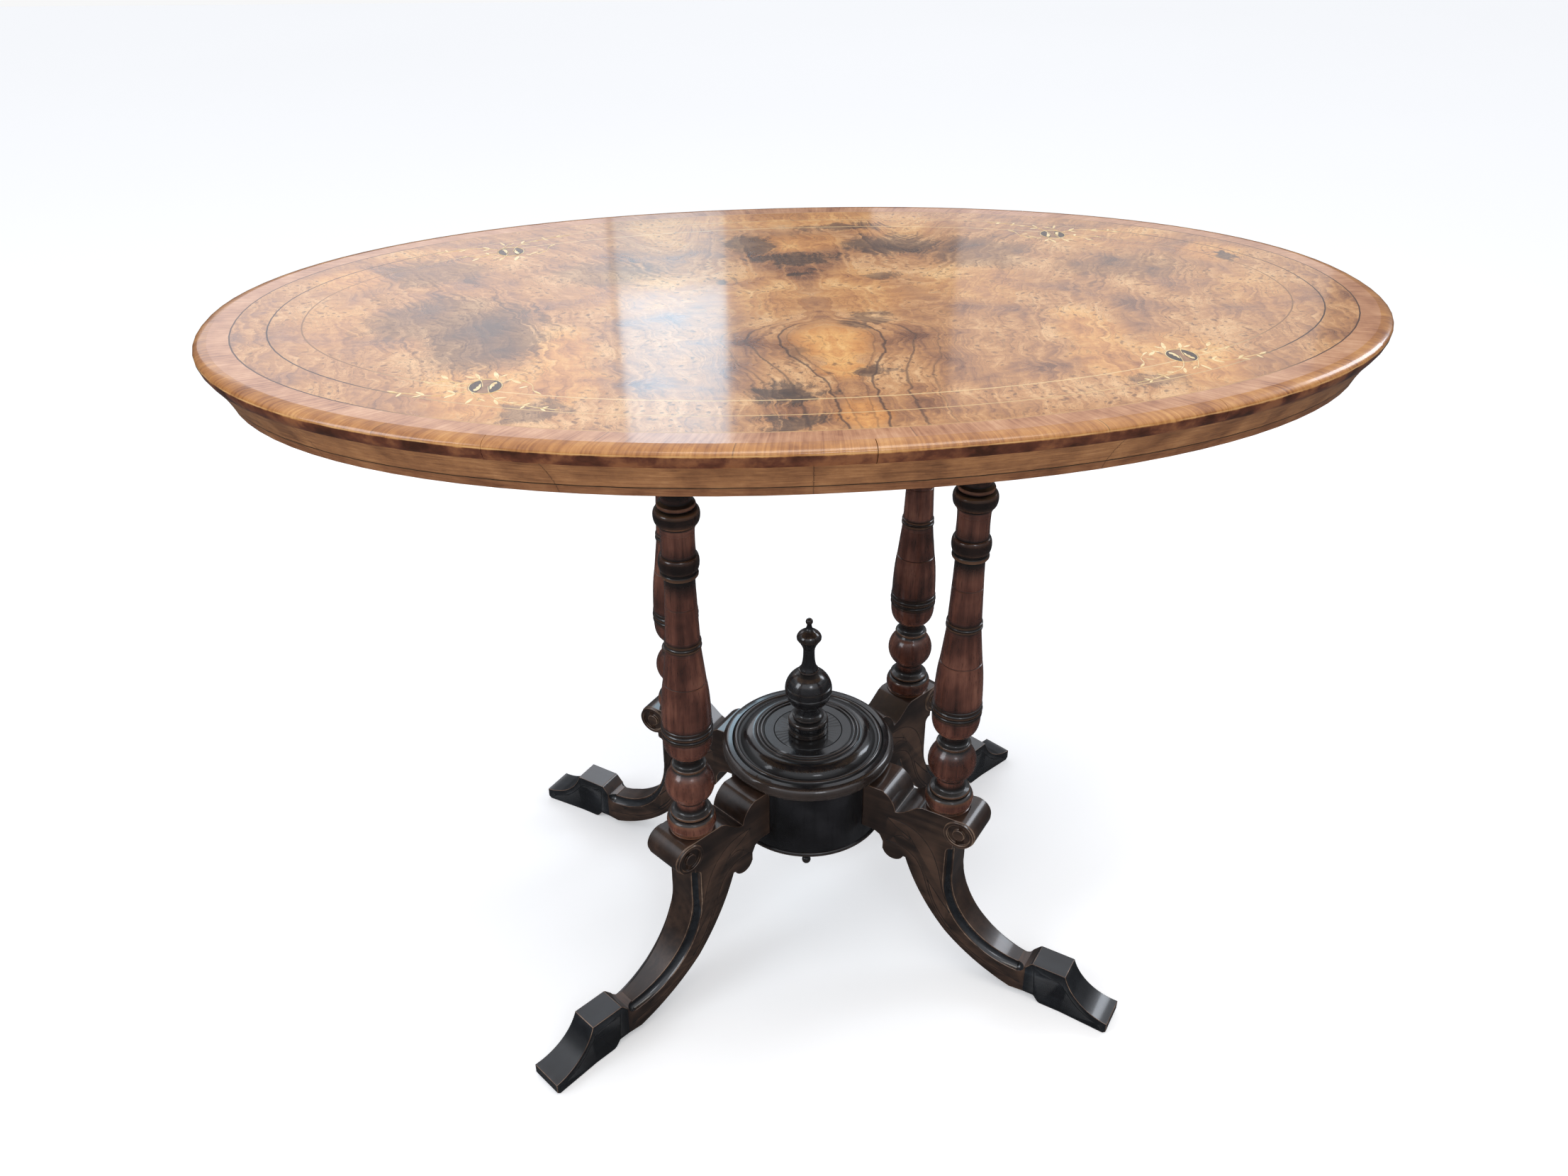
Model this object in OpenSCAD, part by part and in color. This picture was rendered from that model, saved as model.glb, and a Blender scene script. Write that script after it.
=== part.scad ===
// Oval inlaid walnut centre table with a tilting top on a four-column "birdcage" base.
// Millimetres, Z up, +X along the long axis of the top, +Y towards the pivot side.
// The origin is on the floor, under the middle of the top.

/* [Top] */
// Height of the top's surface above the floor
table_h = 710; // [690:1:760]
// Length of the oval top over its moulded edge
top_len = 1013; // [940:1:1100]
// Width of the oval top over its moulded edge
top_w = 601; // [570:1:700]
// Fullness of the oval: 2 is a plain ellipse
oval_power = 2.12; // [2:0.01:2.3]
// Thickness of the top, veneer included
panel_t = 22; // [20:0.5:26]
// Thickness of the saw-cut veneers
veneer_t = 1; // [0.9:0.1:1.4]
// Width of the thumb moulding that rounds the edge
lip_w = 11.3; // [8:0.1:13]
// Drop of the moulding's lip below the surface
lip_drop = 5; // [4:0.1:7]
// Height of the shallow cove under the lip
lip_cove_h = 10; // [7:0.5:12]
// Depth of wood that the moulding has behind the face of the frieze
moulding_back = 8; // [6:0.5:12]
// Number of cross-grain lengths that make up the edge moulding
moulding_lengths = 12; // [12:4:16]

/* [Inlay] */
// Width of the crossbanding inside the moulding
crossband_w = 16.2; // [12:0.1:20]
// Width of a line of stringing
string_w = 1.2; // [1:0.1:2]
// Depth of the groove that holds the stringing
string_t = 0.6; // [0.4:0.1:0.8]
// Inset of the second line of stringing from the outer edge
second_line = 55.5; // [48:0.5:62]
// Inset of the third line of stringing from the outer edge
third_line = 82; // [74:0.5:90]
// Diameter of the marquetry roundels
roundel_d = 26; // [20:0.5:32]
// Inset of the roundel centres from the outer edge
roundel_inset = 89; // [80:0.5:94]
// Place of a roundel round the oval, in degrees of its circle
roundel_turn = 55; // [44:0.5:60]

/* [Frieze] */
// Inset of the frieze's top edge, where the cove ends
frieze_top_inset = 4; // [3:0.5:8]
// Inset of the frieze's foot
frieze_inset = 19.4; // [17:0.1:24]
// Height of the frieze
frieze_h = 22; // [16:0.5:30]
// Thickness of the frieze rail
frieze_t = 18; // [14:0.5:24]
// Number of sawn lengths that make up the frieze rail
frieze_lengths = 12; // [12:4:16]
// Height of the band below the frieze's line of stringing
frieze_band_h = 7; // [4:0.5:9]

/* [Tilting frame] */
// Thickness of the block on the columns
block_t = 29.7; // [26:0.1:36]
// Wood of the block in front of the column centres
block_front = 29; // [26:0.5:40]
// Wood of the block beside the column centres
block_side = 25.3; // [24.5:0.1:40]
// Distance of the tilt pivot behind the back columns
pivot_back = 31; // [30:0.5:40]
// Radius of the pivot pins
pivot_r = 6; // [5:0.25:7]
// Length of a pivot pin held in the block
pivot_hold = 26; // [20:1:40]
// Length of a pivot pin held in its bearer
pivot_reach = 24; // [15:1:25]
// Width of a bearer
bearer_w = 30; // [28:1:40]
// Length of a bearer in front of the middle
bearer_front = 222; // [210:1:226]
// Length of a bearer behind the middle
bearer_rear = 214; // [205:1:226]
// Radius of the hollow under each end of a bearer
bearer_end_r = 34; // [31:1:44]
// Thickness left at the ends of a bearer
bearer_end_t = 8; // [6:0.5:12]
// Radius of a bearer screw's shank
screw_r = 2.4; // [2:0.1:3]
// Length of a bearer screw
screw_len = 34; // [30:1:38]
// Distance of the end screws from the ends of a bearer
screw_end = 57; // [52:1:62]
// Depth of the screws' heads in a bearer
screw_recess = 8; // [5:0.5:9]

/* [Catch] */
// Travel of the catch bolt
bolt_travel = 8; // [6:0.5:10]
// Width of the catch bolt
bolt_w = 14; // [10:1:16]
// Thickness of the catch bolt
bolt_t = 7; // [6:0.5:8]
// Wall of the catch case
case_wall = 2; // [1.5:0.1:2.5]
// Thickness of the case's screwed plate
case_deck = 4; // [3:0.5:5]
// Length of the catch case
case_len = 40; // [38:1:50]
// Width of the catch case's screwed flange
case_flange_w = 46; // [42:1:60]
// Gap between the drawn bolt and the keeper
bolt_gap = 3; // [2:0.5:5]
// Length of the drawn bolt that shows out of its case
bolt_show = 12; // [11:0.5:16]
// Radius of the thumb knob
knob_r = 5; // [4:0.5:6]
// Height of the thumb knob below the case
knob_h = 9; // [7:0.5:12]
// Width of the keeper
keeper_w = 40; // [36:1:50]
// Depth of wood or air that the thrown bolt leaves before the block
bolt_spare = 2; // [1:0.5:3]
// Radius of the small brass screws
small_screw_r = 1.6; // [1.3:0.1:2]

/* [Columns] */
// Distance of a column from the middle of the table
column_ring = 164.8; // [162:0.1:175]
// Angle of the legs and columns from the long axis
leg_angle = 37.7; // [36:0.1:40]
// Radius of the column's ball
ball_r = 24.3; // [22:0.1:26]
// Radius of the column's belly
belly_r = 23.7; // [21:0.1:24.2]
// Radius of the column's tenons
tenon_r = 10; // [8:0.5:11]
// Length of the tenon in the knee
tenon_len = 24; // [18:1:28]

/* [Legs] */
// Height of the flat seat on the knee
seat_z = 212; // [208:1:216]
// Width of a leg at the knee
knee_w = 45; // [42:0.5:52]
// Width of a leg at the ankle
ankle_w = 29; // [26:0.5:34]
// Width of the toe
toe_w = 36; // [30:0.5:42]
// Distance of the toe from the middle of the table
toe_ring = 365; // [358:1:375]
// Height of the block on the foot
foot_h = 52; // [48:0.5:56]
// Height of the blunt toe
toe_h = 14; // [11:0.5:17]
// Radius of the scroll at the knee
scroll_r = 17; // [15:0.5:18]
// Amount that the knee scroll stands out at each side
scroll_proud = 1.5; // [1:0.1:3]
// Radius of the hollow down the front of the leg
front_r = 91; // [86:0.5:94]
// Radius of the coves along the front edges of the leg
edge_cove_r = 7; // [5:0.5:8]
// Thickness of a leg's tenon in the drum
leg_tenon_t = 14; // [10:0.5:20]
// Length of a leg's tenon in the drum
leg_tenon_len = 22; // [15:1:30]
// Depth of the shoulder above and below a leg's tenon
leg_shoulder = 8; // [6:0.5:14]

/* [Drum] */
// Radius of the drum
drum_r = 82; // [80:0.5:84]
// Height of the drum's underside
drum_z = 141; // [136:1:146]
// Height of the joint between the drum and its lid
lid_z = 216; // [212:0.1:220]
// Radius of the lid over its rim
lid_r = 91.5; // [88:0.5:93]
// Thickness of the lid's rim
rim_t = 15; // [13:0.5:16]
// Height of the lid's flat above the joint
lid_rise = 25; // [23:0.5:28]
// Thickness of the plate under the drum
plate_t = 5.5; // [4:0.5:8]
// Amount that the plate stands out round the drum
plate_proud = 2; // [1:0.5:4]
// Radius of the finial's ball
finial_ball_r = 24.6; // [21:0.1:26]
// Height of the finial over the lid
finial_h = 139.5; // [130:0.5:150]
// Length of the pendant under the plate
pendant_h = 86; // [81:1:95]
// Radius of the spigots of the finial and pendant
spigot_r = 8; // [6:0.5:9]
// Length of those spigots
spigot_len = 40; // [34:1:46]

/* [Hidden] */
$fn = 64;

// Clearances
glue_gap = 0.1;
rest_gap = 0.3;
pin_gap = 0.05;
slide_gap = 0.3;
eps = 0.01;
hair = 0.05;

// Levels of the top, from the surface down
core_top_z = table_h - veneer_t;
core_under_z = table_h - panel_t;
frieze_under_z = core_under_z - frieze_h;
frieze_line_z = frieze_under_z + frieze_band_h;
lip_z = table_h - lip_drop;
frieze_top_z = lip_z - lip_cove_h;
block_top_z = core_under_z - rest_gap;
block_under_z = block_top_z - block_t;
groove_z = table_h - string_t;

// Insets of the top's pieces from its outer edge
moulding_in = frieze_inset + moulding_back;
outer_line = lip_w + crossband_w;
half_len = top_len / 2;
half_w = top_w / 2;
oval_steps = 96;
face_step = 4;

// Places of the columns and of the tilt pivot
column_x = column_ring * cos(leg_angle);
column_y = column_ring * sin(leg_angle);
block_half_w = column_x + block_side;
pivot_y = column_y + pivot_back;
nosing_r = block_t / 2 - 1;
pivot_z = block_top_z - nosing_r;
bearer_x = block_half_w + rest_gap;
block_front_y = -column_y - block_front;
keeper_t = bolt_travel - bolt_gap + bolt_spare;
keeper_y = block_front_y - keeper_t;

// Colours of the woods and of the brass
burr = "#b9824a";
golden = "#a8763f";
crossgrain = "#9a6335";
redwood = "#5a2f1c";
dark = "#2c211d";
black = "#17120f";
box = "#d9bd86";
pine = "#b08c5c";
brass = "#b08d46";
iron = "#55504a";

// A point of the oval, set in from the edge by a distance square to the edge
function signed_pow(v, p) = sign(v) * pow(abs(v), p);
function edge_point(t) = [half_len * signed_pow(cos(t), 2 / oval_power),
                          half_w * signed_pow(sin(t), 2 / oval_power)];
function edge_normal(p) =
  let (n = [signed_pow(p[0] / half_len, oval_power - 1) / half_len,
            signed_pow(p[1] / half_w, oval_power - 1) / half_w])
  n / norm(n);
function oval_point(t, inset) = let (p = edge_point(t)) p - inset * edge_normal(p);
function oval(inset, from = 0, to = 360, steps = oval_steps) =
  [for (i = [0 : steps - (to - from == 360 ? 1 : 0)]) oval_point(from + (to - from) * i / steps, inset)];

// Points of a round stretch of an outline
function arc(c, r, from, to, n) =
  [for (i = [0 : n]) let (a = from + (to - from) * i / n) [c[0] + r * cos(a), c[1] + r * sin(a)]];
// A half-round bead on a turned outline, standing out from radius r between two heights
function bead(z0, z1, r, proud, n = 8) =
  [for (i = [0 : n]) [r + proud * sin(180 * i / n), (z0 + z1) / 2 - (z1 - z0) / 2 * cos(180 * i / n)]];
// A soft curve between two points of an outline, pulled towards a third
function bend(a, pull, b, n = 8) =
  [for (i = [0 : n]) let (t = i / n) a * pow(1 - t, 2) + pull * 2 * t * (1 - t) + b * t * t];
// Part of a ball on a turned outline, cut off where it has the two neck radii
function ball(z, r, low_r, high_r, n = 14) =
  arc([0, z], r, -acos(low_r / r), acos(high_r / r), n);

// A slotted wood screw standing on its head, tip up, from z = 0
module wood_screw(r, length) {
  difference() {
    union() {
      cylinder(r = 2 * r, h = 0.4 * r);
      translate([0, 0, 0.4 * r]) cylinder(r1 = 2 * r, r2 = r, h = r);
      cylinder(r = r, h = length - 1.5 * r);
      translate([0, 0, length - 1.5 * r]) cylinder(r1 = r, r2 = 0.3 * r, h = 1.5 * r);
    }
    translate([-2.5 * r, -0.25 * r, -eps]) cube([5 * r, 0.5 * r, 0.5 * r]);
  }
}

// The hole for such a screw, with its countersink and the sunk way to it
module screw_hole(r, length, sink = 1) {
  translate([0, 0, -sink]) cylinder(r = 2 * r + glue_gap, h = sink + 0.4 * r + glue_gap);
  translate([0, 0, 0.4 * r + glue_gap]) cylinder(r1 = 2 * r + glue_gap, r2 = r + glue_gap, h = r);
  cylinder(r = r + glue_gap, h = length + glue_gap);
}

// A closed moulding that follows the whole oval: section as for a length of it
module oval_loop(section) {
  m = len(section);
  points = [for (k = [0 : oval_steps - 1]) for (s = section)
    concat(oval_point(k * 360 / oval_steps, s[0]), s[1])];
  polyhedron(points, [for (i = [0 : oval_steps - 1]) for (j = [0 : m - 1])
    each let (a = i * m + j, b = i * m + (j + 1) % m, next = ((i + 1) % oval_steps - i) * m)
    [[a, b, b + next], [a, b + next, a + next]]]);
}

// A flat oval ring between two insets
module oval_ring(outer, inner, z, t) {
  translate([0, 0, z]) linear_extrude(t) difference() {
    polygon(oval(outer));
    polygon(oval(inner));
  }
}

// Turns round the oval for one of its equal lengths, a hair short at each end
function length_turns(i, lengths) =
  let (n = oval_steps / lengths, joint = 0.02)
  [for (k = [0 : n]) (i * n + k) * 360 / oval_steps + (k == 0 ? joint : k == n ? -joint : 0)];

// A length of a moulding that follows the oval: section holds [inset, z] points in order
module oval_length(section, turns) {
  m = len(section);
  steps = len(turns) - 1;
  rings = [for (t = turns) [for (s = section) concat(oval_point(t, s[0]), s[1])]];
  points = [for (r = rings) each r];
  sides = [for (i = [0 : steps - 1]) for (j = [0 : m - 1])
    each let (a = i * m + j, b = i * m + (j + 1) % m) [[a, b, b + m], [a, b + m, a + m]]];
  ends = [[for (j = [m - 1 : -1 : 0]) j], [for (j = [0 : m - 1]) steps * m + j]];
  polyhedron(points, concat(sides, ends));
}

// The softwood board that carries the veneers
module top_core() {
  color(pine) difference() {
    translate([0, 0, core_under_z])
      linear_extrude(core_top_z - core_under_z) polygon(oval(moulding_in));
    for (p = bearer_screw_places()) translate([p[0], p[1], screw_head_z])
      screw_hole(screw_r, screw_len);
    for (p = catch_screw_places()) translate([p[0], p[1], catch_screw_z])
      screw_hole(small_screw_r, catch_screw_len);
  }
}

// One of two book-matched burr leaves that meet across the middle of the top,
// grooved for the stringing and cut for its two roundels
module veneer_leaf(sx) {
  turn = 90 * sx;
  color(burr) difference() {
    translate([0, 0, core_top_z]) linear_extrude(veneer_t)
      polygon(oval(outer_line + string_w, -turn, -turn + 180, oval_steps / 2));
    oval_ring(second_line, second_line + string_w, groove_z, string_t + eps);
    oval_ring(third_line, third_line + string_w, groove_z, string_t + eps);
    for (sy = [-1, 1]) roundel_at(sx, sy)
      translate([0, 0, groove_z]) cylinder(d = roundel_d, h = string_t + eps);
  }
}

module veneer_leaf_left() { veneer_leaf(-1); }
module veneer_leaf_right() { veneer_leaf(1); }

module roundel_at(sx, sy) {
  p = oval_point(roundel_turn, roundel_inset);
  translate([sx * p[0], sy * p[1], 0]) children();
}

// The crossbanding between the moulding and the outer line
module crossband() {
  color(golden) oval_ring(lip_w, outer_line, core_top_z, veneer_t);
}

module outer_string() {
  color(black) oval_ring(outer_line, outer_line + string_w, core_top_z, veneer_t);
}

module second_string() {
  color(black) oval_ring(second_line, second_line + string_w, groove_z, string_t);
}

// The innermost line, broken where the roundels sit on it
module third_string() {
  color(box) difference() {
    oval_ring(third_line, third_line + string_w, groove_z, string_t);
    for (sx = [-1, 1], sy = [-1, 1]) roundel_at(sx, sy)
      translate([0, 0, groove_z - eps]) cylinder(d = roundel_d, h = string_t + 2 * eps);
  }
}

// The four dark discs at the heart of the marquetry sprays
module roundels() {
  color(black) for (sx = [-1, 1], sy = [-1, 1]) roundel_at(sx, sy)
    translate([0, 0, groove_z]) cylinder(d = roundel_d, h = string_t);
}

// Inset of the frieze's face at a height: it sweeps in from the cove and ends nearly upright
function frieze_face(z) =
  let (down = (frieze_top_z - z) / (frieze_top_z - frieze_under_z), pull = 0.75 * frieze_inset)
  pow(1 - down, 2) * frieze_top_inset + 2 * down * (1 - down) * pull + down * down * frieze_inset;
// Points down such a face between two heights, set back by a distance
function face_down(z0, z1, back) =
  let (n = ceil((z0 - z1) / face_step))
  [for (i = [0 : n]) let (z = z0 + (z1 - z0) * i / n) [frieze_face(z) + back, z]];
function reversed(points) = [for (i = [len(points) - 1 : -1 : 0]) points[i]];
// Section of a facing of veneer between two heights
function facing_section(z0, z1) =
  concat(reversed(face_down(z0, z1, veneer_t)), face_down(z0, z1, 0));

// Section of the edge moulding: a thumb above the lip, a shallow cove under it, and a rebate
// that takes the top of the frieze's veneer
function moulding_section(n = 5) =
  concat(
    [[moulding_in, core_under_z], [moulding_in, core_top_z], [lip_w, core_top_z]],
    [for (i = [0 : n]) [lip_w * (1 - sin(90 * i / n)), lip_z + lip_drop * cos(90 * i / n)]],
    [for (i = [1 : n]) [frieze_top_inset * pow(i / n, 2), lip_z - lip_cove_h * i / n]],
    face_down(frieze_top_z, core_under_z, veneer_t + hair));

// The cross-grain lengths of moulding, butted end to end round the oval
module edge_moulding() {
  color(crossgrain) for (i = [0 : moulding_lengths - 1])
    oval_length(moulding_section(), length_turns(i, moulding_lengths));
}

// The sawn lengths of the frieze rail, glued under the edge of the top
module frieze_rail() {
  rail_in = frieze_inset + frieze_t;
  color(pine) for (i = [0 : frieze_lengths - 1])
    oval_length(concat([[rail_in, frieze_under_z], [rail_in, core_under_z]],
                       face_down(core_under_z, frieze_under_z, veneer_t + hair)),
                length_turns(i, frieze_lengths));
}

module frieze_veneer() {
  color(golden) oval_loop(facing_section(frieze_top_z, frieze_line_z + string_w));
}

module frieze_string() {
  color(black) oval_loop(facing_section(frieze_line_z + string_w, frieze_line_z));
}

module frieze_band() {
  color(golden) oval_loop(facing_section(frieze_line_z, frieze_under_z));
}

// Places of the screws that hold the bearers to the top
function bearer_screw_places() =
  [for (sx = [-1, 1], y = [screw_end - bearer_front, 0, bearer_rear - screw_end])
    [sx * (bearer_x + bearer_w / 2), y]];
screw_head_z = block_under_z + screw_recess;

// A bearer: a rail across the top's underside, bored for the pivot, with hollowed ends
module bearer(sx) {
  h = core_under_z - block_under_z;
  depth = pivot_reach + rest_gap;
  color(redwood) difference() {
    translate([sx > 0 ? bearer_x : -bearer_x - bearer_w, -bearer_front, block_under_z])
      cube([bearer_w, bearer_front + bearer_rear, h]);
    for (end = [[-bearer_front, 1], [bearer_rear, -1]])
      translate([sx * (bearer_x + bearer_w / 2), end[0], core_under_z - bearer_end_t - bearer_end_r])
        rotate([0, 90, 0]) cylinder(r = bearer_end_r, h = bearer_w + 2, center = true);
    translate([sx * bearer_x, pivot_y, pivot_z]) rotate([0, sx * 90, 0])
      translate([0, 0, -1]) cylinder(r = pivot_r + pin_gap, h = depth + 1);
    for (p = bearer_screw_places()) translate([p[0], p[1], screw_head_z])
      screw_hole(screw_r, screw_len, screw_recess + 1);
  }
}

module bearer_left() { bearer(-1); }
module bearer_right() { bearer(1); }

module bearer_screws() {
  color(iron) for (p = bearer_screw_places())
    translate([p[0], p[1], screw_head_z]) wood_screw(screw_r, screw_len);
}

// Places of the brass catch under the front of the top, and of its keeper on the block
case_in_w = bolt_w + 2 * slide_gap;
case_in_h = bolt_t + 2 * slide_gap;
case_w = case_in_w + 2 * case_wall;
case_z = core_under_z - case_deck - case_in_h - case_wall;
case_front_y = keeper_y - bolt_gap - bolt_show - case_len;
bolt_z = case_z + case_wall + slide_gap;
knob_y = case_front_y + case_len / 2;
catch_screw_len = 13;
catch_screw_z = core_under_z - case_deck;
catch_screw_end = 7;
bolt_bevel = 3;
keeper_z = bolt_z - 5;
keeper_screw_x = keeper_w / 2 - 5;
keeper_screw_z = bolt_z + bolt_t / 2;
keeper_screw_len = 20;
function catch_screw_places() =
  [for (sx = [-1, 1], sy = [-1, 1])
    [sx * (case_w / 2 + (case_flange_w - case_w) / 4), knob_y + sy * (case_len / 2 - catch_screw_end)]];

module catch_case() {
  slot_w = knob_r + 2 * slide_gap;
  color(brass) difference() {
    union() {
      translate([-case_w / 2, case_front_y, case_z])
        cube([case_w, case_len, core_under_z - case_z]);
      translate([-case_flange_w / 2, case_front_y, core_under_z - case_deck])
        cube([case_flange_w, case_len, case_deck]);
    }
    translate([-case_in_w / 2, case_front_y + case_wall, case_z + case_wall])
      cube([case_in_w, case_len, case_in_h]);
    translate([-slot_w / 2, knob_y - slot_w / 2, case_z - 1])
      cube([slot_w, slot_w + bolt_travel, case_wall + 2]);
    for (p = catch_screw_places()) translate([p[0], p[1], catch_screw_z])
      screw_hole(small_screw_r, catch_screw_len);
  }
}

// The bolt with its turned thumb knob, drawn back as stored
module catch_bolt() {
  back_y = case_front_y + case_wall + slide_gap;
  tip_y = keeper_y - bolt_gap;
  color(brass) {
    translate([-bolt_w / 2, 0, 0]) rotate([90, 0, 90]) linear_extrude(bolt_w)
      polygon([[back_y, bolt_z], [tip_y - bolt_bevel, bolt_z], [tip_y, bolt_z + bolt_bevel],
               [tip_y, bolt_z + bolt_t], [back_y, bolt_z + bolt_t]]);
    translate([0, knob_y, 0]) rotate_extrude()
      polygon(concat(
        [[0, bolt_z + eps], [knob_r / 2, bolt_z + eps], [knob_r / 2, case_z - slide_gap]],
        bend([knob_r / 2, case_z - slide_gap - 1], [knob_r / 2, case_z - knob_h / 2],
             [knob_r, case_z - knob_h + 3], 5),
        [[knob_r, case_z - knob_h + 1], [knob_r - 1, case_z - knob_h], [0, case_z - knob_h]]));
  }
}

module catch_screws() {
  color(brass) for (p = catch_screw_places())
    translate([p[0], p[1], catch_screw_z]) wood_screw(small_screw_r, catch_screw_len);
}

// The block on the columns: its back edge is rounded about the pivot above and flat below,
// so that the top can turn upright and then stops against it
module pillar_block() {
  color(redwood) difference() {
    union() {
      translate([-block_half_w, block_front_y, block_under_z])
        cube([2 * block_half_w, pivot_y - block_front_y, block_t]);
      translate([-block_half_w, pivot_y - eps, block_under_z])
        cube([2 * block_half_w, nosing_r + eps, pivot_z - block_under_z]);
      translate([0, pivot_y, pivot_z]) rotate([0, 90, 0])
        cylinder(r = nosing_r, h = 2 * block_half_w, center = true);
    }
    for (sx = [-1, 1], sy = [-1, 1])
      translate([sx * column_x, sy * column_y, block_under_z - 1])
        cylinder(r = tenon_r + glue_gap, h = block_t + 2);
    for (sx = [-1, 1]) translate([sx * block_half_w, pivot_y, pivot_z]) rotate([0, -sx * 90, 0])
      translate([0, 0, -1]) cylinder(r = pivot_r + glue_gap, h = pivot_hold + 1 + glue_gap);
    for (sx = [-1, 1]) translate([sx * keeper_screw_x, keeper_y, keeper_screw_z])
      rotate([-90, 0, 0]) screw_hole(small_screw_r, keeper_screw_len);
  }
}

// The two turned pins that the top tilts on
module pivot_pins() {
  color(redwood) for (sx = [-1, 1])
    translate([sx * (block_half_w - pivot_hold), pivot_y, pivot_z]) rotate([0, sx * 90, 0])
      cylinder(r = pivot_r, h = pivot_hold + pivot_reach);
}

// The keeper: a brass bridge on the front of the block, which the bolt slides under
module keeper_plate() {
  bridge_z = bolt_z + bolt_t + slide_gap;
  color(brass) difference() {
    translate([-keeper_w / 2, keeper_y, keeper_z])
      cube([keeper_w, keeper_t, block_top_z - keeper_z]);
    translate([-case_in_w / 2, keeper_y - 1, keeper_z - 1])
      cube([case_in_w, keeper_t + 2, bridge_z - keeper_z + 1]);
    for (sx = [-1, 1]) translate([sx * keeper_screw_x, keeper_y, keeper_screw_z])
      rotate([-90, 0, 0]) screw_hole(small_screw_r, keeper_screw_len);
  }
}

module keeper_screws() {
  color(brass) for (sx = [-1, 1])
    translate([sx * keeper_screw_x, keeper_y, keeper_screw_z]) rotate([-90, 0, 0])
      wood_screw(small_screw_r, keeper_screw_len);
}

// Outline of a column's turnings above its seat, drawn for one rise from seat to block:
// the lower ones are measured up from the seat and the upper ones down from the block
drawn_rise = 446;
function column_turnings() =
  let (top = drawn_rise, neck = 14.2)
  concat(
    [[ball_r - 2, 0]], bead(1, 18, ball_r - 4, 4.2),
    [[ball_r - 4, 19]], bead(19, 23, ball_r - 5.5, 1.8, 6),
    bend([ball_r - 6, 23.5], [neck, 24], [neck, 29], 5),
    ball(56, ball_r, neck, neck + 2.6),
    bead(76, 80, neck + 1.2, 2, 6),
    bend([neck + 1, 80.5], [12.6, 81], [12.6, 86], 5),
    [[13.6, 88], [13.8, 90]],
    bend([14.6, 91], [belly_r + 0.6, 96], [belly_r, 114], 8),
    bead(115, 119.5, belly_r, 0.9, 4), bead(120, 125, belly_r, 1.1, 4),
    bead(125.5, 129, belly_r - 0.2, 0.8, 4),
    bend([belly_r, 130], [belly_r - 0.5, 160], [belly_r - 3.3, 176], 8),
    [[belly_r - 4.1, 176.6], [belly_r - 3.6, 177.6]],
    bend([belly_r - 3.6, 178], [17.2, top - 242], [16.3, top - 233], 6),
    bead(top - 232, top - 228, 16.4, 1, 4), bead(top - 227.5, top - 224, 16.2, 0.9, 4),
    bend([16, top - 223], [15, top - 200], [14.7, top - 188], 6),
    [[14.2, top - 187.5], [14.2, top - 186.5], [14.6, top - 186]],
    bend([14.5, top - 185], [13.8, top - 168], [13.9, top - 158], 5),
    bead(top - 157, top - 152, 15.6, 1.6, 6), bead(top - 151, top - 135, 15.4, 2.9),
    bend([15.4, top - 134], [14.6, top - 121], [15.3, top - 109], 6),
    [[16, top - 108], [16, top - 106]],
    bend([15.4, top - 105.5], [20, top - 105], [20.4, top - 97], 5),
    bend([20.4, top - 96], [20.2, top - 91], [17.4, top - 89.5], 4),
    bead(top - 89, top - 84.5, 15.6, 1.4, 5),
    bend([13.4, top - 83], [13, top - 80], [13.2, top - 74], 4),
    bend([13.4, top - 66], [15.8, top - 40], [16.4, top - 27], 6),
    bead(top - 26, top - 19, 16.2, 2.4, 6),
    bend([15.6, top - 18], [15, top - 8], [18, top - 3], 5));

// The whole outline, with the turnings stretched to the height between knee and block
module column_outline() {
  stretch = (block_under_z - seat_z) / drawn_rise;
  foot_z = seat_z - tenon_len;
  head_z = block_top_z - rest_gap;
  polygon(concat(
    [[0, foot_z], [tenon_r - 1, foot_z], [tenon_r, foot_z + 1], [tenon_r, seat_z]],
    [for (p = column_turnings()) [p[0], seat_z + p[1] * stretch]],
    [[18, block_under_z], [tenon_r, block_under_z], [tenon_r, head_z], [0, head_z]]));
}

module column(sx, sy) {
  color(redwood) translate([sx * column_x, sy * column_y, 0]) rotate_extrude() column_outline();
}

module column_front_left() { column(-1, -1); }
module column_front_right() { column(1, -1); }
module column_back_left() { column(-1, 1); }
module column_back_right() { column(1, 1); }

// Centres of the arcs of a leg's side view, as [distance from the middle, height]
scroll_c = [column_ring + 22.7, seat_z - scroll_r];
front_x = scroll_c[0] - 5.5;
front_c = [front_x + front_r, 132];
ankle_z = front_c[1] - front_r;
under_r = 219;
under_c = [front_c[0] + 64, 212];
foot_back = toe_ring - 87;
foot_r = 55;
foot_c = [toe_ring + 2, toe_h + foot_r];
heel_z = 8;
head_z = lid_z - 0.5;
head_flat = 18.5;
head_r = 28.5;
head_fall = 25;
head_c = [drum_r + head_flat - head_r * sin(head_fall), head_z - head_r * cos(head_fall)];
bracket_z = drum_z + 19;
leg_tenon_z = bracket_z + leg_shoulder;
leg_tenon_h = head_z - leg_shoulder - leg_tenon_z;

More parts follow.
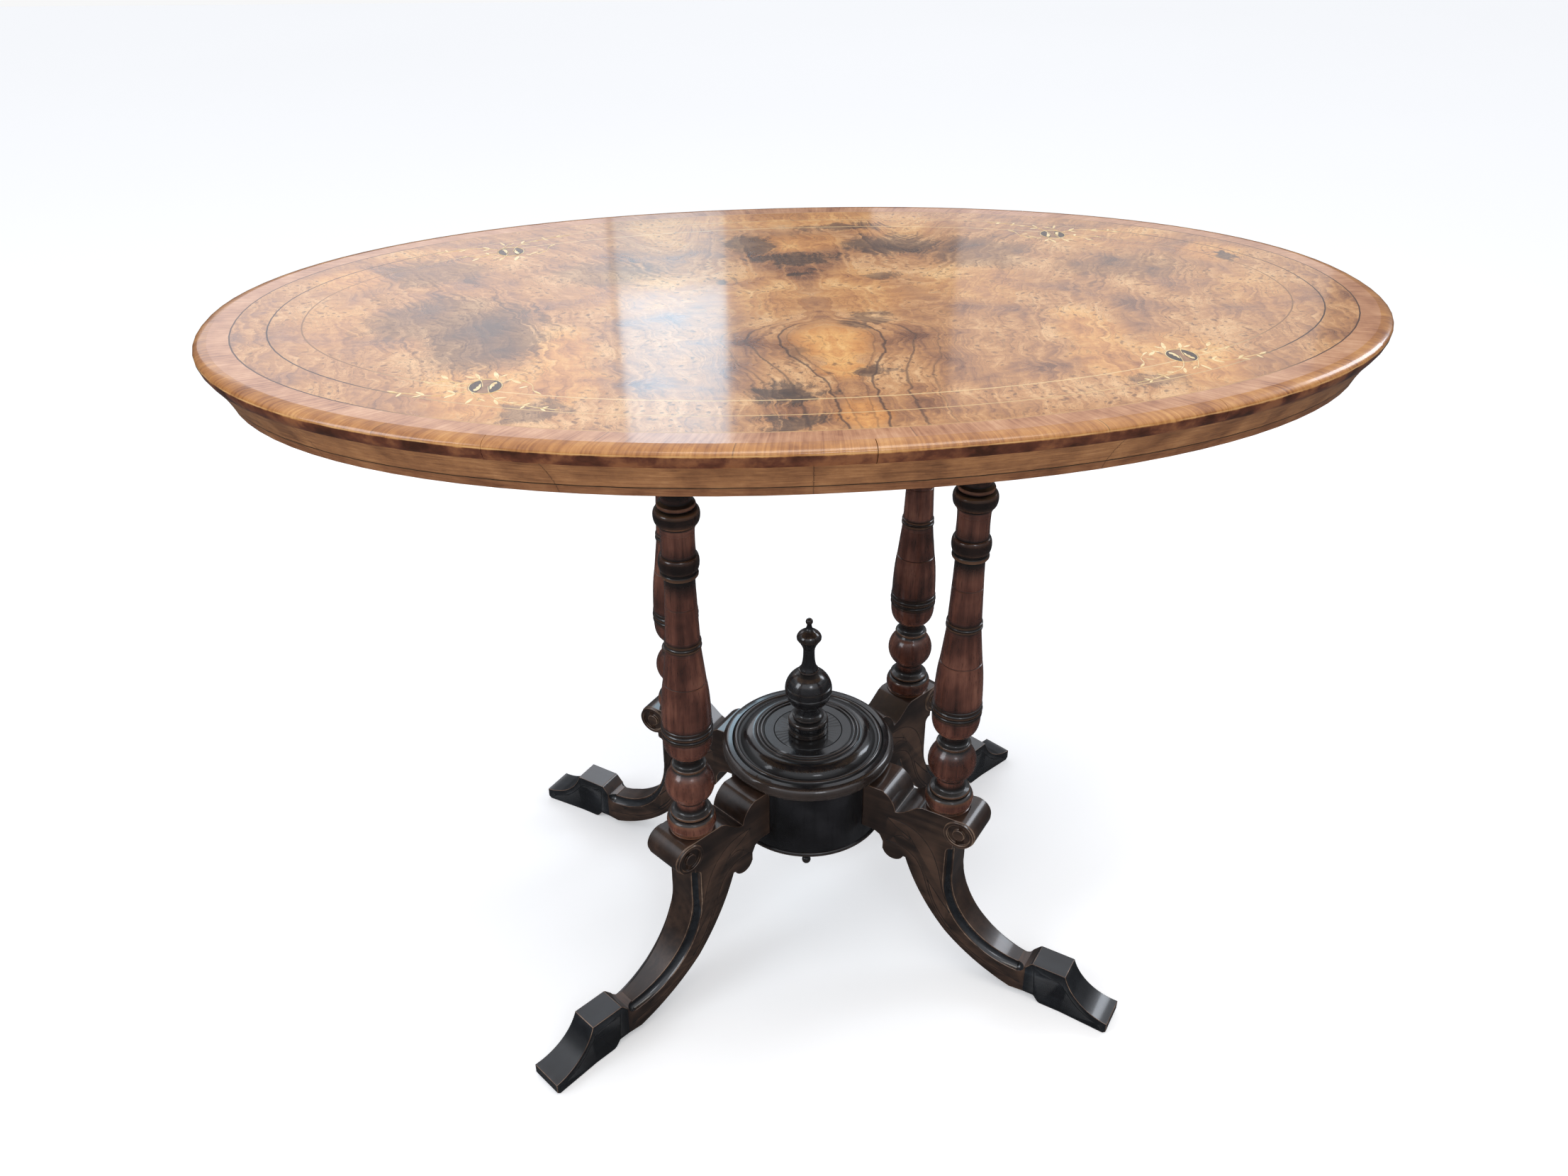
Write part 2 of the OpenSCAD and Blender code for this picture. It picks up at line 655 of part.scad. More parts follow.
// Side view of a leg: head scroll, seat, knee scroll, hollow shank and foot
module leg_side() {
  difference() {
    union() {
      intersection() {
        difference() {
          translate(under_c) circle(r = under_r, $fn = 180);
          translate(front_c) circle(r = front_r, $fn = 120);
          translate([front_x, front_c[1]]) square([front_r, 70]);
        }
        translate([drum_r + 40, heel_z]) square([foot_back - drum_r - 46, 164]);
      }
      translate(scroll_c) circle(r = scroll_r);
      head_scroll();
      polygon([
        [drum_r - 4, bracket_z], [drum_r + 10, bracket_z], [drum_r + 18, bracket_z - 4],
        [drum_r + 22, bracket_z - 12], [drum_r + 22, bracket_z - 22],
        [drum_r + 53, bracket_z - 22], [drum_r + 70, front_c[1] - 22], [front_x, front_c[1] + 8],
        [front_x, scroll_c[1] - 16], scroll_c, [scroll_c[0], seat_z],
        [column_ring - 19, seat_z], [column_ring - 25, seat_z - 2.6],
        [column_ring - 32, seat_z - 8.5], [column_ring - 39, seat_z - 14.5],
        [column_ring - 45, seat_z - 17.6], [drum_r + 30, head_z - 22.5],
        [drum_r - 4, head_z - 22.5]]);
      translate([drum_r + 34.5, bracket_z - 18]) circle(r = 12.5);
      polygon([
        [foot_back - 16, heel_z], [foot_back + 6, heel_z], [foot_back + 11, 1.5],
        [foot_back + 14, 0], [toe_ring - 3, 0], [toe_ring, 3], [toe_ring, foot_h],
        [foot_back + 1, foot_h], [foot_back - 1, foot_h - 1.5],
        [foot_back - 8, ankle_z + 0.6], [foot_back - 16, ankle_z + 1.2]]);
    }
    translate(foot_c) circle(r = foot_r, $fn = 96);
  }
}

// The inner scroll, a flat by the lid and a roll that falls to the saddle
module head_scroll() {
  intersection() {
    translate(head_c) circle(r = head_r);
    translate([drum_r - 4, head_c[1] - 8]) square([head_r + 20, head_z - head_c[1] + 8]);
  }
}

// Plan of a leg: parallel to the knee, tapered to the ankle and flared to the toe
module leg_plan() {
  outline = [[0, knee_w / 2], [front_x, knee_w / 2], [foot_back - 6, ankle_w / 2],
             [foot_back + 36, ankle_w / 2], [toe_ring + 1, toe_w / 2]];
  polygon(concat(outline, [for (i = [len(outline) - 1 : -1 : 0]) [outline[i][0], -outline[i][1]]]));
}

// Half a ball above z = 0, its poles turned away from the edges that it cuts
module half_ball(r) {
  intersection() {
    rotate([50, 0, 45]) sphere(r = r);
    translate([-2 * r, -2 * r, 0]) cube([4 * r, 4 * r, 2 * r]);
  }
}

// The cove cut along one front edge of the shank: upright with a domed top, then round the
// hollow, leaning in with the taper, to a domed stop on the foot. The cuts differ by a
// hair in radius, so that their edges meet cleanly.
module edge_cove(side) {
  taper = atan((knee_w - ankle_w) / 2 / (foot_back - 6 - front_x));
  upright_r = edge_cove_r + hair;
  rise = scroll_c[1] - scroll_r - front_c[1] - 12;
  sweep = 84;
  translate([front_x, side * knee_w / 2, front_c[1]]) {
    cylinder(r = upright_r, h = rise);
    translate([0, 0, rise]) half_ball(upright_r - hair);
    rotate([0, 0, -side * taper]) translate([front_r, 0, 0]) rotate([90, 0, 0]) rotate([0, 0, 180]) {
      rotate_extrude(angle = sweep, $fn = 120) translate([front_r, 0]) circle(r = edge_cove_r);
      rotate([0, 0, sweep]) translate([front_r, 0, 0]) rotate([-90, 0, 0]) rotate([0, 0, 180])
        half_ball(edge_cove_r - hair);
    }
  }
}

// A leg, laid along +X and then turned to its place
module leg(sx, sy) {
  turn = atan2(sy * sin(leg_angle), sx * cos(leg_angle));
  boss_r = scroll_r - 1;
  eye_r = boss_r - 3.5;
  color(dark) rotate([0, 0, turn]) {
    difference() {
      union() {
        intersection() {
          rotate([90, 0, 0]) linear_extrude(knee_w + 10, center = true) leg_side();
          linear_extrude(seat_z + 20) leg_plan();
        }
        translate([scroll_c[0], 0, scroll_c[1]]) rotate([90, 0, 0])
          cylinder(r = boss_r, h = knee_w + 2 * scroll_proud, center = true);
      }
      cylinder(r = drum_r + rest_gap, h = 400, $fn = 120);
      translate([column_ring, 0, seat_z - tenon_len - 1])
        cylinder(r = tenon_r + glue_gap, h = tenon_len + 2);
      for (side = [-1, 1]) {
        edge_cove(side);
        translate([scroll_c[0], side * (knee_w / 2 + scroll_proud), scroll_c[1]])
          rotate([90, 0, 0]) difference() {
            cylinder(r = eye_r, h = 5, center = true);
            cylinder(r = eye_r / 2, h = 7, center = true);
          }
      }
    }
    translate([drum_r - leg_tenon_len, -leg_tenon_t / 2, leg_tenon_z])
      cube([leg_tenon_len + 4, leg_tenon_t, leg_tenon_h]);
  }
}

module leg_front_left() { leg(-1, -1); }
module leg_front_right() { leg(1, -1); }
module leg_back_left() { leg(-1, 1); }
module leg_back_right() { leg(1, 1); }

// The turned drum, mortised for the legs and bored for the two spigots
module drum_body() {
  color(dark) difference() {
    translate([0, 0, drum_z]) cylinder(r = drum_r, h = lid_z - drum_z, $fn = 120);
    for (sx = [-1, 1], sy = [-1, 1])
      rotate([0, 0, atan2(sy * sin(leg_angle), sx * cos(leg_angle))])
        translate([drum_r - leg_tenon_len - 1, -leg_tenon_t / 2 - glue_gap, leg_tenon_z - glue_gap])
          cube([leg_tenon_len + 10, leg_tenon_t + 2 * glue_gap, leg_tenon_h + 2 * glue_gap]);
    translate([0, 0, drum_z - 1]) cylinder(r = spigot_r + glue_gap, h = lid_z - drum_z + 2);
  }
}

// The plate under the drum, with a half-round edge
module drum_plate() {
  z = drum_z - plate_t;
  color(dark) rotate_extrude($fn = 120)
    polygon(concat([[spigot_r + glue_gap, z]], bead(z, drum_z, drum_r - 1, plate_proud + 1),
                   [[spigot_r + glue_gap, drum_z]]));
}

// The turned lid: rim, bead, ogee slope, double ring and an incised circle on the flat
module drum_lid() {
  z = lid_z;
  flat_z = lid_z + lid_rise;
  rim_in = lid_r - 6;
  color(dark) rotate_extrude($fn = 120)
    polygon(concat(
      [[spigot_r + glue_gap, z]], bead(z, z + rim_t, rim_in, 6, 10),
      [[lid_r - 11, z + rim_t + 0.3], [lid_r - 11.8, z + rim_t - 1], [lid_r - 12.6, z + rim_t]],
      arc([lid_r - 15, z + rim_t], 2.4, 0, 150, 6),
      [[lid_r - 17.6, z + rim_t + 0.6]],
      bend([lid_r - 20, z + rim_t + 0.4], [lid_r - 24, flat_z - 1.5], [lid_r - 35, flat_z - 1], 8),
      [[lid_r - 36, flat_z - 1.4]], arc([lid_r - 38.2, flat_z - 1], 1.7, 0, 180, 6),
      arc([lid_r - 42.2, flat_z - 1], 1.7, 0, 180, 6),
      [[lid_r - 44.6, flat_z - 1], [lid_r - 45.6, flat_z], [lid_r - 55, flat_z],
       [lid_r - 55.6, flat_z - 0.9], [lid_r - 56.2, flat_z], [spigot_r + glue_gap, flat_z]]));
}

// The finial: plinth, torus, incised ball, slim neck, flared disc and a small ball on top
module finial() {
  z = lid_z + lid_rise;
  tip = z + finial_h;
  r = finial_ball_r;
  ball_z = z + 53;
  color(dark) rotate_extrude()
    polygon(concat(
      [[0, z - spigot_len], [spigot_r, z - spigot_len], [spigot_r, z], [r - 3.5, z]],
      [[r - 3, z + 1], [r - 3, z + 5]], bead(z + 6, z + 17, r - 5, 2),
      [[r - 7.6, z + 17.5]], bead(z + 18, z + 21.5, r - 9.5, 1.6, 5),
      bend([r - 10, z + 22], [11.6, z + 22.5], [11.6, z + 30], 4),
      arc([0, ball_z], r, -acos(11.6 / r), -6, 8),
      [[r - 0.9, ball_z - 1.8], [r - 0.1, ball_z - 1]],
      arc([0, ball_z], r, 2, 12, 3), [[r - 1.6, ball_z + 6], [r - 1, ball_z + 7]],
      arc([0, ball_z], r, 18, acos(10.6 / r), 8),
      bead(ball_z + 22.6, ball_z + 25.4, 9.6, 1.2, 4),
      bend([9.4, ball_z + 26], [5.9, ball_z + 31], [5.9, tip - 40], 6),
      bend([6, tip - 37], [6.8, tip - 32], [12.6, tip - 24], 5),
      bend([12.8, tip - 22], [12, tip - 18], [6, tip - 14.5], 4),
      bend([5, tip - 13.5], [2.6, tip - 11.5], [2.4, tip - 7], 4),
      arc([0, tip - 3.8], 3.8, -50, 90, 8)));
}

// The drop under the drum, a small turned pendant with a ball tip
module pendant() {
  z = drum_z - plate_t;
  tip = z - pendant_h;
  color(dark) rotate_extrude()
    polygon(concat(
      [[0, z + spigot_len], [0, tip]], arc([0, tip + 5], 5, -90, 50, 8),
      bend([3, tip + 10], [3, tip + 15], [5, tip + 18], 4),
      bend([5.4, tip + 18.5], [8, tip + 22], [7.2, tip + 26], 4),
      arc([0, z - 38], 15, -60, 58, 10),
      bend([8.6, z - 24.5], [7, z - 22], [8.4, z - 19], 4),
      bead(z - 18.5, z - 12, 14, 3.4, 6),
      bend([14, z - 11.5], [15, z - 7], [24, z - 5.5], 4),
      bead(z - 5, z, 24, 2, 5),
      [[spigot_r, z], [spigot_r, z + spigot_len]]));
}

top_core();
veneer_leaf_left();
veneer_leaf_right();
crossband();
outer_string();
second_string();
third_string();
roundels();
edge_moulding();
frieze_rail();
frieze_veneer();
frieze_string();
frieze_band();
bearer_left();
bearer_right();
bearer_screws();
catch_case();
catch_bolt();
catch_screws();
pillar_block();
pivot_pins();
keeper_plate();
keeper_screws();
column_front_left();
column_front_right();
column_back_left();
column_back_right();
leg_front_left();
leg_front_right();
leg_back_left();
leg_back_right();
drum_body();
drum_plate();
drum_lid();
finial();
pendant();
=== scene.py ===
import math

import bmesh
import bpy
from mathutils import Matrix, Vector


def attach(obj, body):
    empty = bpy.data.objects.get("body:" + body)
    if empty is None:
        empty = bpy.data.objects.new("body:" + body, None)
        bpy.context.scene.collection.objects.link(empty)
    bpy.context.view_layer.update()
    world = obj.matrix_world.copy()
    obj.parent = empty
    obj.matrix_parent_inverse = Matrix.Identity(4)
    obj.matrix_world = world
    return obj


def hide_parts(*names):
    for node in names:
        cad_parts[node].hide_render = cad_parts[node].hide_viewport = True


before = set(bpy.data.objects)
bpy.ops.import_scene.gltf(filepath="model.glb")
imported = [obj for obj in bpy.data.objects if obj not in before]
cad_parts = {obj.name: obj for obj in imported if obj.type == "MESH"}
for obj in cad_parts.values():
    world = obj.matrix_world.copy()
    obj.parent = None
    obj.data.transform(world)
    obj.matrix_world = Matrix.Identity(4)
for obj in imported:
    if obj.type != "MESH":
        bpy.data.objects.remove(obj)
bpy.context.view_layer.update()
bpy.ops.object.select_all(action="DESELECT")


# The room. The camera stands where the photograph was taken from: in front of the table, a
# little to the left of it and above its top. The photograph's own lens and frame are kept.
def put(name, data):
    """Puts a new object into the scene, with its data named as it is."""
    data.name = name
    item = bpy.data.objects.new(name, data)
    bpy.context.scene.collection.objects.link(item)
    return item


image_size = (2212, 1659)
focal_px = 1787.84
lens_centre_px = (1134.53, 841.59)
sensor_mm = 36.0
eye = Vector((-0.15852, -1.05573, 1.07033))
swing = math.radians(-8.25)
look_down = math.radians(31.89)
roll = math.radians(0.58)
backwards = Vector((math.sin(swing) * math.cos(look_down),
                    -math.cos(swing) * math.cos(look_down),
                    math.sin(look_down)))
level = (-backwards).cross(Vector((0, 0, 1))).normalized()
rise = level.cross(-backwards)
rightwards = math.cos(roll) * level + math.sin(roll) * rise
upwards = math.cos(roll) * rise - math.sin(roll) * level
lens_axes = Matrix((rightwards, upwards, backwards)).transposed().to_4x4()
camera = put("camera", bpy.data.cameras.new("camera"))
camera.matrix_world = Matrix.Translation(eye) @ lens_axes
camera.data.sensor_width = sensor_mm
camera.data.lens = focal_px / image_size[0] * sensor_mm
camera.data.shift_x = (image_size[0] / 2 - lens_centre_px[0]) / image_size[0]
camera.data.shift_y = (lens_centre_px[1] - image_size[1] / 2) / image_size[0]
bpy.context.scene.camera = camera
bpy.context.scene.view_settings.view_transform = "Standard"


# The light of the room itself: dim low down and bright overhead, as under a ceiling lit by
# windows. What the camera sees of it past the floor is plain white.
def hex_tone(code):
    """An sRGB hex colour as the linear colour that a shader takes."""
    channels = [int(code[i:i + 2], 16) / 255 for i in (1, 3, 5)]
    linear = [c / 12.92 if c <= 0.04045 else ((c + 0.055) / 1.055) ** 2.4 for c in channels]
    return (*linear, 1.0)


def feed(tree, node, inputs):
    """Feeds a node's sockets with numbers, hex colours, or other nodes by their first output."""
    for name, value in inputs.items():
        if isinstance(name, int):
            socket = node.inputs[name]
        else:
            socket = next(s for s in node.inputs if s.enabled and s.name == name)
        if isinstance(value, bpy.types.Node):
            value = next(s for s in value.outputs if s.enabled)
        if isinstance(value, bpy.types.NodeSocket):
            tree.links.new(value, socket)
        elif isinstance(value, str):
            socket.default_value = hex_tone(value)
        else:
            socket.default_value = value


# What the second word of a node's kind sets, as in "Math MULTIPLY" or "TexNoise 2D"
second_words = {"Math": "operation", "VectorMath": "operation", "Mix": "data_type",
                "MapRange": "interpolation_type", "ValToRGB": "interpolation",
                "TexNoise": "noise_dimensions", "TexVoronoi": "voronoi_dimensions",
                "Attribute": "attribute_name"}


def add_node(tree, words, inputs, stops=(), **settings):
    """Adds a node with its settings, the stops of its colour ramp, and what feeds it."""
    kind, _, second = words.partition(" ")
    node = tree.nodes.new("ShaderNode" + kind)
    if second:
        setattr(getattr(node, "color_ramp", node), second_words[kind], second)
    for name, value in settings.items():
        setattr(node, name, value)
    if stops:
        ramp = node.color_ramp
        while len(ramp.elements) < len(stops):
            ramp.elements.new(0.5)
        for element, (place, tone) in zip(ramp.elements, stops):
            element.position = place
            element.color = hex_tone(tone) if isinstance(tone, str) else (tone, tone, tone, 1.0)
    feed(tree, node, inputs)
    return node


world = bpy.data.worlds.new("daylight")
world.use_nodes = True
room = world.node_tree
sky = add_node(room, "TexCoord", {})
sky_axes = add_node(room, "SeparateXYZ", {0: sky.outputs["Generated"]})
sky_height = add_node(room, "MapRange", {
    "Value": sky_axes.outputs["Z"], "From Min": -1.0, "From Max": 1.0})
sky_light = add_node(room, "ValToRGB", {"Fac": sky_height}, [
    (0.0, 0.05), (0.49, 0.07), (0.56, 0.2), (0.7, 0.24), (0.81, 0.95), (1.0, 1.0)])
sky_tone = add_node(room, "Mix RGBA", {"Factor": 1.0, "A": sky_light, "B": "#f5f8ff"},
                    blend_type="MULTIPLY")
seen = add_node(room, "LightPath", {})
backdrop = add_node(room, "Mix RGBA", {
    "Factor": seen.outputs["Is Camera Ray"], "A": sky_tone, "B": "#f8f8f8"})
feed(room, room.nodes["Background"], {"Color": backdrop})
bpy.context.scene.world = world

# Each soft light is a flat panel: its place, the point it faces, its width, its height, its
# power in watts and its tone. The panels behind the table are the windows that shine along
# the top: one bright with a dimmer pane under it, a wide hazy one, and two to the right.
soft_lights = {
    "window_behind": ((-0.053, 1.95, 1.57), (-0.053, 0.0, 1.57), 0.26, 0.46, 1.7, "#c0e6fc"),
    "window_low_pane": ((-0.053, 1.95, 1.245), (-0.053, 0.0, 1.245), 0.26, 0.19, 0.2, "#c4e8fa"),
    "window_hazy": ((-0.95, 1.95, 1.45), (-0.95, 0.0, 1.45), 1.5, 0.62, 4.2, "#f1f0f6"),
    "window_far_right": ((0.65, 1.95, 1.17), (0.65, 0.0, 1.17), 0.44, 0.07, 0.12, "#f2f4ff"),
    "window_hazy_right": ((1.15, 1.95, 1.42), (1.15, 0.0, 1.42), 1.0, 0.55, 1.5, "#f3f3f6"),
    "window_left": ((-2.3, -0.9, 1.9), (0.0, 0.0, 0.5), 1.1, 1.5, 24.0, "#f1f7ff"),
    "window_right": ((1.9, 0.7, 1.5), (0.0, 0.0, 0.4), 0.5, 0.9, 8.0, "#eef5ff"),
    "window_front": ((0.4, -2.6, 2.5), (0.0, 0.0, 0.3), 0.6, 0.5, 7.0, "#f4f8ff"),
    "ceiling_panel": ((0.3, -0.6, 2.9), (0.0, 0.0, 0.6), 1.6, 1.0, 20.0, "#fff8ee"),
}
for light_name, (place, target, width, height, watts, tone) in soft_lights.items():
    panel = bpy.data.lights.new(light_name, "AREA")
    panel.shape = "RECTANGLE"
    panel.size = width
    panel.size_y = height
    panel.energy = watts
    panel.color = hex_tone(tone)[:3]
    lamp = put(light_name, panel)
    lamp.location = place
    lamp.rotation_mode = "QUATERNION"
    lamp.rotation_quaternion = (Vector(target) - Vector(place)).to_track_quat("-Z", "Y")


# The floor is plain white paint. It is kept out of the reflections on the dark wood, as in the
# photograph.
def new_finish(name, roughness, coat, coat_roughness):
    """An empty finish: the material, its node tree and its shader."""
    finish = bpy.data.materials.new(name)
    finish.use_nodes = True
    tree = finish.node_tree
    shader = tree.nodes["Principled BSDF"]
    feed(tree, shader, {"Roughness": roughness, "Coat Weight": coat,
                        "Coat Roughness": coat_roughness, "IOR": 1.5})
    return finish, tree, shader


under_soles = -0.0004
bpy.ops.mesh.primitive_plane_add(size=16.0, location=(0, 0, under_soles))
floor = bpy.context.active_object
floor.name = "floor"
floor.visible_glossy = False
floor_paint, tree, shader = new_finish("white_painted_floor", 0.8, 0.0, 0.03)
brushed = add_node(tree, "TexNoise", {"Scale": 3.0, "Detail": 4.0})
paint_tone = add_node(tree, "ValToRGB", {"Fac": brushed}, [(0.3, "#f0f0ef"), (0.7, "#f4f4f3")])
feed(tree, shader, {"Base Color": paint_tone, "Emission Color": "#ffffff", "Emission Strength": 0.3})
floor.data.materials.append(floor_paint)


# The burr leaves of the top: two sheets of burr walnut cut one after the other from the same
# log, opened like a book about the middle of the table and glued to the softwood board. The
# polish over them is french polish, rubbed to a soft shine.
def in_mm(tree):
    """The place of each point of the object in millimetres, whole and split into its axes."""
    place = add_node(tree, "TexCoord", {})
    mm = add_node(tree, "VectorMath SCALE", {0: place.outputs["Object"], "Scale": 1000.0})
    return mm, add_node(tree, "SeparateXYZ", {0: mm})


def dress(finish, *node_names):
    """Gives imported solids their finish."""
    for node_name in node_names:
        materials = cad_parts[node_name].data.materials
        materials.clear()
        materials.append(finish)


def marked(tree, under, shape, seen, tone):
    """A tone with marks of another drawn over it, as strong as their shape times what is seen."""
    strength = add_node(tree, "Math MULTIPLY", {0: shape, 1: seen})
    return add_node(tree, "Mix RGBA", {"Factor": strength, "A": under, "B": tone})


def give_surface(tree, shader, colour, relief, strength, depth):
    """Gives a finish its colour and its low relief, which is so many metres deep."""
    bump = add_node(tree, "Bump", {"Height": relief, "Strength": strength, "Distance": depth})
    feed(tree, shader, {"Base Color": colour, "Normal": bump})


burr, tree, shader = new_finish("french_polished_burr_walnut", 0.3, 0.55, 0.085)
# Everything is drawn in millimetres, and the book match comes from the distance to the middle
mm, axes = in_mm(tree)
to_back = axes.outputs["Y"]
from_seam = add_node(tree, "Math ABSOLUTE", {0: axes.outputs["X"]})
leaf_place = add_node(tree, "CombineXYZ", {"X": from_seam, "Y": to_back})
# The slow drift of the figure, about 90 mm from swirl to swirl, and the sway on top of it
drift = add_node(tree, "TexNoise 2D", {
    "Vector": leaf_place, "Scale": 1 / 90, "Detail": 3.0, "Roughness": 0.5})
pushed = add_node(tree, "VectorMath MULTIPLY_ADD", {
    0: drift.outputs["Color"], 1: (40.0, 40.0, 0.0), 2: leaf_place})
sway = add_node(tree, "TexNoise 2D", {"Vector": pushed, "Scale": 1 / 30, "Detail": 4.0, "Roughness": 0.55})
fray = add_node(tree, "TexNoise 2D", {
    "Vector": mm, "Scale": 1 / 34, "Detail": 7.0, "Roughness": 0.66, "Distortion": 0.5})
# The heart in front of the middle: half its width at each height, in tenths of a metre
heart_height = add_node(tree, "MapRange", {"Value": to_back, "From Min": -230.0, "From Max": -50.0})
heart_width = add_node(tree, "ValToRGB B_SPLINE", {"Fac": heart_height}, [
    (0.0, 0.16), (0.14, 0.16), (0.27, 0.20), (0.36, 0.21), (0.46, 0.31), (0.6, 0.40),
    (0.78, 0.43), (0.87, 0.36), (0.93, 0.2), (0.97, 0.04), (1.0, 0.0)])
heart_half = add_node(tree, "Math MULTIPLY", {0: heart_width, 1: 100.0})
heart_side = add_node(tree, "Math SUBTRACT", {0: from_seam, 1: heart_half})
# Away from the heart the grain leans outwards the further back it goes
back_of = add_node(tree, "Math ADD", {0: to_back, 1: 225.0})
back_kept = add_node(tree, "Math MAXIMUM", {0: back_of, 1: 0.0})
back_square = add_node(tree, "Math POWER", {0: back_kept, 1: 2.0})
lean = add_node(tree, "Math MULTIPLY", {0: back_square, 1: 0.0009})
lean_side = add_node(tree, "Math SUBTRACT", {0: from_seam, 1: lean})
near_heart = add_node(tree, "MapRange SMOOTHSTEP", {"Value": from_seam, "From Min": 55.0, "From Max": 120.0})
flow = add_node(tree, "Mix", {"Factor": near_heart, "A": heart_side, "B": lean_side})
flow_sway = add_node(tree, "Math MULTIPLY_ADD", {0: sway, 1: 34.0, 2: flow})
# Streaks that follow the growth, from 10 mm down to half a millimetre across
streak_long = add_node(tree, "Math MULTIPLY", {0: to_back, 1: 0.045})
streak_place = add_node(tree, "CombineXYZ", {"X": flow_sway, "Y": streak_long})
streak = add_node(tree, "TexNoise 2D", {
    "Vector": streak_place, "Scale": 1 / 6, "Detail": 7.0, "Roughness": 0.7})
# The curl: short bright waves across the growth, 7 mm apart, as light catches turned fibre
curl_long = add_node(tree, "Math MULTIPLY", {0: flow_sway, 1: 0.16})
curl_wave = add_node(tree, "Math MULTIPLY_ADD", {0: sway, 1: 30.0, 2: to_back})
curl_place = add_node(tree, "CombineXYZ", {"X": curl_long, "Y": curl_wave})
curl = add_node(tree, "TexNoise 2D", {"Vector": curl_place, "Scale": 1 / 5, "Detail": 2.0, "Roughness": 0.5})
cloud = add_node(tree, "TexNoise 2D", {"Vector": pushed, "Scale": 1 / 60, "Detail": 4.0, "Roughness": 0.55})
streaked = add_node(tree, "Mix", {"Factor": 0.58, "A": streak, "B": cloud})
depth = add_node(tree, "Mix", {"Factor": 0.12, "A": streaked, "B": curl})
# The same depth of figure is read in three tones: the ground, golden sapwood and smoky heartwood
ground = add_node(tree, "ValToRGB", {"Fac": depth}, [
    (0.34, "#74482e"), (0.43, "#9c6a44"), (0.5, "#b7814f"), (0.56, "#c99562"), (0.65, "#ddb07d")])
golden = add_node(tree, "ValToRGB", {"Fac": depth}, [
    (0.36, "#a96a34"), (0.47, "#d3924e"), (0.55, "#e5ac63"), (0.66, "#f3c988")])
smoky = add_node(tree, "ValToRGB", {"Fac": depth}, [
    (0.36, "#2c1d14"), (0.47, "#543b29"), (0.55, "#74573e"), (0.66, "#967455")])
# Golden: the heart, its foot, and the burr round the sprays. Each patch is given by its middle,
# its half sizes and its strength. The golden ones are book-matched and the smoky ones are not
golden_patches = [
    ((0, -105), (34, 42), 1.0), ((0, -150), (15, 38), 1.0), ((0, -250), (22, 28), 1.0),
    ((16, 166), (42, 34), 0.8), ((215, -100), (30, 62), 0.75), ((270, -175), (52, 60), 0.7),
    ((215, -165), (34, 52), 0.7), ((30, 250), (90, 38), 0.7), ((400, 95), (40, 34), 0.7),
    ((110, 215), (60, 48), 0.5), ((45, 20), (44, 74), 0.5), ((150, 30), (60, 60), 0.4),
    ((330, 150), (70, 40), 0.5), ((400, -20), (40, 70), 0.35),
]
smoky_patches = [
    ((-49, -203), (30, 24), 0.95), ((-49, -257), (30, 14), 0.85), ((24, -168), (13, 10), 0.8),
    ((-34, -128), (13, 22), 0.4), ((98, 150), (50, 36), 0.85), ((-36, 165), (28, 34), 0.75),
    ((-6, 116), (50, 18), 0.8), ((-275, -60), (58, 84), 0.75), ((-310, -20), (66, 66), 0.6),
    ((-228, -212), (26, 18), 0.7), ((232, -214), (24, 14), 0.6), ((35, -55), (22, 14), 0.7),
    ((-330, 110), (56, 44), 0.5), ((408, 78), (20, 12), 0.95), ((175, 120), (60, 54), 0.5),
    ((-180, 90), (60, 40), 0.5), ((60, 215), (46, 16), 0.7), ((300, 60), (70, 40), 0.35),
    ((-75, 55), (16, 12), 0.7), ((75, 55), (14, 10), 0.7), ((-3, 70), (12, 9), 0.8),
]
tone = ground
for patches, patch_place, patch_tone, edge_noise, push in (
        (golden_patches, leaf_place, golden, sway, 26.0), (smoky_patches, mm, smoky, fray, 70.0)):
    either_way = add_node(tree, "VectorMath SUBTRACT", {0: edge_noise.outputs["Color"], 1: (0.5, 0.5, 0.5)})
    torn = add_node(tree, "VectorMath MULTIPLY_ADD", {0: either_way, 1: (push, push, 0.0), 2: patch_place})
    cover = 0.0
    for (px, py), (rx, ry), strength in patches:
        spot = add_node(tree, "Mapping", {
            "Vector": torn, "Location": (-px / rx, -py / ry, 0.0), "Scale": (1 / rx, 1 / ry, 0.0)})
        far = add_node(tree, "VectorMath LENGTH", {0: spot})
        ragged = add_node(tree, "Math MULTIPLY_ADD", {0: streak, 1: 1.2, 2: far})
        patch = add_node(tree, "MapRange SMOOTHSTEP", {
            "Value": ragged, "From Min": 1.75, "From Max": 1.2, "To Max": strength})
        cover = add_node(tree, "Math MAXIMUM", {0: cover, 1: patch})
    tone = add_node(tree, "Mix RGBA", {"Factor": cover, "A": tone, "B": patch_tone})
# Dark growth lines every 7 mm or so where the figure runs plain
line_turn = add_node(tree, "Math MULTIPLY", {0: flow_sway, 1: 2 * math.pi / 7.0})
line_wave = add_node(tree, "Math SINE", {0: line_turn})
line_thin = add_node(tree, "MapRange SMOOTHSTEP", {"Value": line_wave, "From Min": 0.6, "From Max": 1.0})
line_seen = add_node(tree, "MapRange SMOOTHSTEP", {
    "Value": fray, "From Min": 0.46, "From Max": 0.62, "To Max": 0.36})
lined = marked(tree, tone, line_thin, line_seen, "#5a3820")
